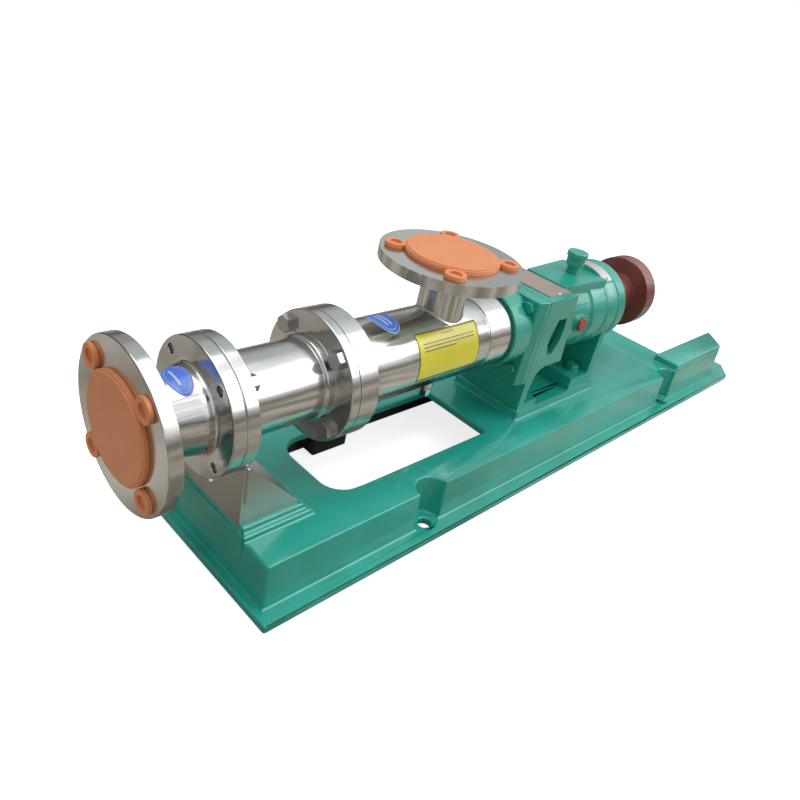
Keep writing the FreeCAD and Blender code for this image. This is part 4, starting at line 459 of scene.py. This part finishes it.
yellow_vinyl = printed_vinyl("yellow printed vinyl", ("#F6EA35", "#FAF04A"))
black_vinyl = printed_vinyl("black printed vinyl", ("#2C2B26", "#35342E"))
panel_middle = (-0.2865, 18.7)
film_on_tube("warning_panel_edge", panel_middle, (0.0570, 0.0317), BARREL, PRINT_LIFTS[0], False,
             black_vinyl)
film_on_tube("warning_panel", panel_middle, (0.0560, 0.0306), BARREL, PRINT_LIFTS[1], False,
             yellow_vinyl)
half_line = 0.0006
for line, (along, turn, half_length) in enumerate(((-0.2865, 46, 0.011), (-0.2865, 37, 0.047),
                                                   (-0.2865, 32, 0.047), (-0.3045, 27, 0.029))):
    film_on_tube(f"warning_rule_{line}", (along, turn), (half_length, half_line), BARREL,
                 PRINT_LIFTS[2], False, black_vinyl)


# Stator liner and other rubber
# Black nitrile, moulded and bonded into the tube, with the same compound in the lip seals,
# the O-ring and the slinger. Matt, with a fine bloom.

def moulded_rubber(name, colour):
    """Moulded nitrile rubber: nearly black, matt, with a dusty bloom."""
    material, tree, place = new_finish(name)
    bloom = add(tree, "ShaderNodeTexNoise", {"Vector": place, "Scale": per_metre(9), "Detail": 4.0})
    tone = add(tree, "ShaderNodeMix", {"Factor": bloom.outputs["Fac"], "A": linear(colour),
                                       "B": linear("#34343A")}, data_type="RGBA")
    pebble = add(tree, "ShaderNodeTexNoise", {"Vector": place, "Scale": per_metre(0.8), "Detail": 1.0})
    relief = add(tree, "ShaderNodeBump", {"Height": pebble.outputs["Fac"], "Strength": 0.2,
                                          "Distance": 0.0001})
    surface = add(tree, "ShaderNodeBsdfPrincipled", {
        "Base Color": tone.outputs["Result"], "Roughness": 0.72, "Normal": relief.outputs["Normal"]})
    add(tree, "ShaderNodeOutputMaterial", {"Surface": surface.outputs["BSDF"]})
    return material


nitrile = moulded_rubber("moulded nitrile rubber", "#17171A")
paint(nitrile, "stator_liner", "box_o_ring", "front_lip_seal", "rear_lip_seal", "slinger_ring")


# Rotor
# A bar of tool steel turned to a single-start helix and hard chromed, with a mirror-like
# surface that keeps a faint trace of the cutter.

def plated(name, colour, roughness, trace_mm):
    """Bright plated or ground steel with a faint trace of the tool."""
    material, tree, place = new_finish(name)
    trace = add(tree, "ShaderNodeTexNoise", {"Vector": place, "Scale": per_metre(trace_mm), "Detail": 3.0})
    tone = add(tree, "ShaderNodeMix", {"Factor": trace.outputs["Fac"], "A": linear(colour[0]),
                                       "B": linear(colour[1])}, data_type="RGBA")
    spread = add(tree, "ShaderNodeMapRange", {"Value": trace.outputs["Fac"], "To Min": roughness - 0.04,
                                              "To Max": roughness + 0.08})
    relief = add(tree, "ShaderNodeBump", {"Height": trace.outputs["Fac"], "Strength": 0.1,
                                          "Distance": 0.0001})
    surface = add(tree, "ShaderNodeBsdfPrincipled", {
        "Base Color": tone.outputs["Result"], "Metallic": 1.0, "Roughness": spread.outputs["Result"],
        "Normal": relief.outputs["Normal"]})
    add(tree, "ShaderNodeOutputMaterial", {"Surface": surface.outputs["BSDF"]})
    return material


hard_chrome = plated("hard chrome", ("#D2D3D6", "#DEDFE2"), 0.12, 3)
paint(hard_chrome, "rotor")


# Fasteners
# Zinc-plated steel bolts, nuts, pins and washers, bought in. The plating is bright but
# slightly cloudy, and duller where a spanner has been.

zinc = plated("bright zinc plate", ("#A8A7A4", "#BDBBB7"), 0.34, 2)
paint(zinc, "saddle_screws", "front_flange_nuts", "front_flange_bolts", "rear_flange_bolts",
      "rotor_joint_pin", "shaft_joint_pin", "gland_studs", "gland_nuts", "chamber_screws",
      "bearing_spacer", "lock_washer", "lock_nut", "coupling_key", "coupling_set_screw",
      "nameplate_rivets")


# Bearings
# Through-hardened chromium steel, ground and lapped, so the tracks and balls are mirrors.

ground_steel = plated("ground bearing steel", ("#C6C7CB", "#D4D5D8"), 0.14, 1.5)
paint(ground_steel, "front_bearing_outer_ring", "front_bearing_inner_ring", "front_bearing_balls",
      "rear_bearing_outer_ring", "rear_bearing_inner_ring", "rear_bearing_balls")


# Packing, lantern ring and drain washer
# Square braid of greased yarn, a cast bronze ring and a soft copper washer.

def braided_yarn(name):
    """Greased square braid: crossing strands about 2 mm wide."""
    material, tree, place = new_finish(name)
    strands = add(tree, "ShaderNodeTexVoronoi", {"Vector": place, "Scale": per_metre(2)})
    tone = add(tree, "ShaderNodeMix", {"Factor": strands.outputs["Distance"], "A": linear("#B8AD96"),
                                       "B": linear("#776E5C")}, data_type="RGBA")
    relief = add(tree, "ShaderNodeBump", {"Height": strands.outputs["Distance"], "Strength": 0.5,
                                          "Distance": 0.0006}, invert=True)
    surface = add(tree, "ShaderNodeBsdfPrincipled", {
        "Base Color": tone.outputs["Result"], "Roughness": 0.8, "Normal": relief.outputs["Normal"]})
    add(tree, "ShaderNodeOutputMaterial", {"Surface": surface.outputs["BSDF"]})
    return material


paint(braided_yarn("greased braided yarn"), "packing_rings")
paint(plated("cast bronze", ("#A9803F", "#BC924C"), 0.36, 2), "lantern_ring")
paint(plated("soft copper", ("#B4704C", "#C98764"), 0.38, 2), "drain_washer")


# Seal adapter, pedestal, covers and grease cup
# Smaller iron castings in the same green, poured in a finer sand. The sprayer has gone over
# the bolts, the cover screws and the grease cup too.

fine_green = painted_iron("green enamel on fine cast iron", "#1E9886", "#2AA997", "#5FA89B", 1.0, 0.28)
rounded_copy("seal_adapter", "pump", fine_green, 0.0014, smooth_casting=True)
rounded_copy("bearing_pedestal", "pump", fine_green, 0.0018)
rounded_copy("front_bearing_cover", "pump", fine_green, 0.0008)
rounded_copy("rear_bearing_cover", "pump", fine_green, 0.0012, smooth_casting=True)
rounded_copy("grease_cup_body", "pump", fine_green, 0.0006)
rounded_copy("grease_cup_cap", "cup_cap", fine_green, 0.0006)
rounded_copy("adapter_bolts", "pump", fine_green, 0.0005, 2)
paint(fine_green, "pedestal_bolts", "pedestal_washers", "front_cover_screws", "rear_cover_screws")


# Oil level plug
# A moulded red nylon plug, screwed into the boss on the near side.

def moulded_nylon(name, colour):
    """Glossy injection-moulded nylon with slight sinks."""
    material, tree, place = new_finish(name)
    sinks = add(tree, "ShaderNodeTexNoise", {"Vector": place, "Scale": per_metre(8), "Detail": 1.0})
    tone = add(tree, "ShaderNodeMix", {"Factor": sinks.outputs["Fac"], "A": linear(colour[0]),
                                       "B": linear(colour[1])}, data_type="RGBA")
    relief = add(tree, "ShaderNodeBump", {"Height": sinks.outputs["Fac"], "Strength": 0.1,
                                          "Distance": 0.0005})
    surface = add(tree, "ShaderNodeBsdfPrincipled", {
        "Base Color": tone.outputs["Result"], "Roughness": 0.35, "Normal": relief.outputs["Normal"]})
    add(tree, "ShaderNodeOutputMaterial", {"Surface": surface.outputs["BSDF"]})
    return material


red_nylon = moulded_nylon("moulded red nylon", ("#8E4238", "#A04C40"))
rounded_copy("oil_level_plug", "pump", red_nylon, 0.0008)


# Nameplate and name strip
# Thin rolled aluminium, brushed along its length and riveted down. Both are left bare.

def brushed_plate(name, colour):
    """Brushed aluminium sheet, dulled by handling."""
    material, tree, place = new_finish(name)
    along = add(tree, "ShaderNodeMapping", {"Vector": place, "Scale": (1.0, 0.04, 1.0)})
    hairs = add(tree, "ShaderNodeTexNoise", {"Vector": along.outputs["Vector"], "Scale": per_metre(0.6),
                                             "Detail": 2.0})
    dulled = add(tree, "ShaderNodeTexNoise", {"Vector": place, "Scale": per_metre(18), "Detail": 3.0})
    tone = add(tree, "ShaderNodeMix", {"Factor": dulled.outputs["Fac"], "A": linear(colour[0]),
                                       "B": linear(colour[1])}, data_type="RGBA")
    relief = add(tree, "ShaderNodeBump", {"Height": hairs.outputs["Fac"], "Strength": 0.15,
                                          "Distance": 0.0001})
    surface = add(tree, "ShaderNodeBsdfPrincipled", {
        "Base Color": tone.outputs["Result"], "Metallic": 0.6, "Roughness": 0.5,
        "Normal": relief.outputs["Normal"]})
    add(tree, "ShaderNodeOutputMaterial", {"Surface": surface.outputs["BSDF"]})
    return material


paint(brushed_plate("brushed aluminium nameplate", ("#A8968B", "#B6A79D")), "nameplate")
paint(brushed_plate("brushed aluminium strip", ("#B9B7B3", "#CFCDCA")), "name_strip")


# Coupling half
# Grey iron, turned all over and dipped in a dark red primer that has worn thin on its edges.

red_primer = painted_iron("dark red primer on iron", "#733632", "#84453F", "#8D655B", 1.2, 0.34)
rounded_copy("coupling_half", "shaft", red_primer, 0.0014, smooth_casting=True)


# Port caps
# Injection-moulded polyethylene, pushed into the ports for transport. Light goes a little way
# into it, and it has faint flow lines from the gate in the middle.

def moulded_polyethylene(name, deep, pale):
    """Soft waxy plastic that lets a little light through."""
    material, tree, place = new_finish(name)
    flow = add(tree, "ShaderNodeTexNoise", {"Vector": place, "Scale": per_metre(26), "Detail": 4.0,
                                            "Distortion": 0.6})
    tone = add(tree, "ShaderNodeMix", {"Factor": flow.outputs["Fac"], "A": linear(deep),
                                       "B": linear(pale)}, data_type="RGBA")
    wax = add(tree, "ShaderNodeTexNoise", {"Vector": place, "Scale": per_metre(1.6), "Detail": 2.0})
    relief = add(tree, "ShaderNodeBump", {"Height": wax.outputs["Fac"], "Strength": 0.12,
                                          "Distance": 0.0002})
    surface = add(tree, "ShaderNodeBsdfPrincipled", {
        "Base Color": tone.outputs["Result"], "Roughness": 0.48, "Normal": relief.outputs["Normal"],
        "Subsurface Weight": 0.12, "Subsurface Radius": (0.8, 0.35, 0.2), "Subsurface Scale": 0.004})
    add(tree, "ShaderNodeOutputMaterial", {"Surface": surface.outputs["BSDF"]})
    return material


orange = moulded_polyethylene("orange moulded polyethylene", "#E08B59", "#E89869")
rounded_copy("discharge_cap", "discharge_cover", orange, 0.0009)
rounded_copy("suction_cap", "suction_cover", orange, 0.0009)


# Floor and light
# Daylight from one wide window on the near side, in a plain room. The camera sees the floor
# lifted to white, with the pump's soft shadow; the metal mirrors a grey-brown ground and the
# window's glare, with the posts of the room in the lower part.

floor_mesh = bpy.data.meshes.new("floor")
reach = 60.0
floor_mesh.from_pydata([(-reach, -reach, 0), (reach, -reach, 0), (reach, reach, 0), (-reach, reach, 0)],
                       [], [(0, 1, 2, 3)])
floor = bpy.data.objects.new("floor", floor_mesh)
bpy.context.scene.collection.objects.link(floor)
floor_material, floor_tree, floor_place = new_finish("pale floor")
seen = add(floor_tree, "ShaderNodeLightPath")
pale = add(floor_tree, "ShaderNodeBsdfDiffuse", {"Color": linear("#E4E4E2")})
glow = add(floor_tree, "ShaderNodeEmission", {"Color": (1, 1, 1, 1), "Strength": 0.80})
lifted = add(floor_tree, "ShaderNodeAddShader", {0: pale.outputs["BSDF"], 1: glow.outputs["Emission"]})
spread = add(floor_tree, "ShaderNodeTexNoise", {"Vector": floor_place, "Scale": per_metre(450),
                                                "Detail": 3.0, "Roughness": 0.7})
paving = add(floor_tree, "ShaderNodeValToRGB", {"Fac": spread.outputs["Fac"]})
paving.color_ramp.elements[0].position = 0.40
paving.color_ramp.elements[0].color = linear("#8D8375")
paving.color_ramp.elements[1].position = 0.60
paving.color_ramp.elements[1].color = linear("#E2DBCF")
ground = add(floor_tree, "ShaderNodeBsdfDiffuse", {"Color": paving.outputs["Color"]})
shown = add(floor_tree, "ShaderNodeMixShader", {0: seen.outputs["Is Camera Ray"],
                                                1: ground.outputs["BSDF"],
                                                2: lifted.outputs["Shader"]})
add(floor_tree, "ShaderNodeOutputMaterial", {"Surface": shown.outputs["Shader"]})
floor_mesh.materials.append(floor_material)

window_side = Vector((0.54, -0.54, 0.64)).normalized()
world = bpy.data.worlds.new("daylight room")
bpy.context.scene.world = world
world.use_nodes = True
room = world.node_tree
room.nodes.clear()
seen = add(room, "ShaderNodeLightPath")
direction = add(room, "ShaderNodeTexCoord")
toward = add(room, "ShaderNodeVectorMath", {0: direction.outputs["Generated"], 1: window_side},
             operation="DOT_PRODUCT")
nearness = add(room, "ShaderNodeMapRange", {"Value": toward.outputs["Value"], "From Min": -1.0})
walls = add(room, "ShaderNodeValToRGB", {"Fac": nearness.outputs["Result"]})
stops = walls.color_ramp
stops.elements[0].position = 0.33
stops.elements[0].color = linear("#868582")
stops.elements[1].position = 0.94
stops.elements[1].color = (1, 1, 1, 1)
for position, shade in ((0.53, "#93938F"), (0.64, "#B2B9B9"), (0.76, "#B6BDBE"), (0.86, "#DCE2E4")):
    stops.elements.new(position).color = linear(shade)
parts = add(room, "ShaderNodeSeparateXYZ", {"Vector": direction.outputs["Generated"]})
dusk = add(room, "ShaderNodeValToRGB", {"Fac": parts.outputs["Z"]})
dusk.color_ramp.elements[0].position = 0.0
dusk.color_ramp.elements[0].color = linear("#8B8177")
dusk.color_ramp.elements[1].position = 0.24
dusk.color_ramp.elements[1].color = (1, 1, 1, 1)
mirrored = add(room, "ShaderNodeMix", {"Factor": 1.0, "A": walls.outputs["Color"],
                                       "B": dusk.outputs["Color"]},
               data_type="RGBA", blend_type="MULTIPLY")
flat = add(room, "ShaderNodeVectorMath", {0: direction.outputs["Generated"], 1: (1, 1, 0)},
           operation="MULTIPLY")
bearing = add(room, "ShaderNodeVectorMath", {0: flat.outputs["Vector"]}, operation="NORMALIZE")
posts = add(room, "ShaderNodeTexNoise", {"Vector": bearing.outputs["Vector"], "Scale": 5.0,
                                         "Detail": 4.0, "Roughness": 0.7})
shades = add(room, "ShaderNodeMapRange", {"Value": posts.outputs["Fac"], "From Min": 0.38,
                                          "From Max": 0.62, "To Min": 0.45, "To Max": 1.35})
low = add(room, "ShaderNodeMapRange", {"Value": parts.outputs["Z"], "From Min": 0.15,
                                       "From Max": 0.5, "To Min": 1.0, "To Max": 0.0})
broken = add(room, "ShaderNodeMix", {"Factor": low.outputs["Result"], "A": 1.0,
                                     "B": shades.outputs["Result"]})
glare = add(room, "ShaderNodeMapRange", {"Value": toward.outputs["Value"], "From Min": 0.93,
                                         "From Max": 0.99, "To Max": 4.0})
room_level = 1.3
brightness = add(room, "ShaderNodeMath", {0: broken.outputs["Result"], 1: room_level,
                                          2: glare.outputs["Result"]}, operation="MULTIPLY_ADD")
even = add(room, "ShaderNodeBackground", {"Color": linear("#F6F8FA"), "Strength": 0.48})
reflected = add(room, "ShaderNodeBackground", {"Color": mirrored.outputs["Result"],
                                               "Strength": brightness.outputs["Value"]})
white = add(room, "ShaderNodeBackground", {"Color": (1, 1, 1, 1), "Strength": 1.0})
metal_view = add(room, "ShaderNodeMixShader", {0: seen.outputs["Is Glossy Ray"],
                                               1: even.outputs["Background"],
                                               2: reflected.outputs["Background"]})
camera_view = add(room, "ShaderNodeMixShader", {0: seen.outputs["Is Camera Ray"],
                                                1: metal_view.outputs["Shader"],
                                                2: white.outputs["Background"]})
add(room, "ShaderNodeOutputWorld", {"Surface": camera_view.outputs["Shader"]})


def soft_lamp(name, place, aim, size, power):
    """A large square diffuser of that size in metres and power in watts."""
    data = bpy.data.lights.new(name, "AREA")
    data.size = size
    data.energy = power
    lamp = bpy.data.objects.new(name, data)
    lamp.location = place
    lamp.rotation_euler = (Vector(aim) - Vector(place)).to_track_quat("-Z", "Y").to_euler()
    bpy.context.scene.collection.objects.link(lamp)


soft_lamp("window", (1.4, -1.5, 1.95), (-0.1, 0.0, 0.15), 2.6, 26)
soft_lamp("overhead", (-0.4, 0.1, 2.4), (-0.1, 0.0, 0.1), 1.8, 24)

bpy.context.scene.view_settings.view_transform = "Standard"
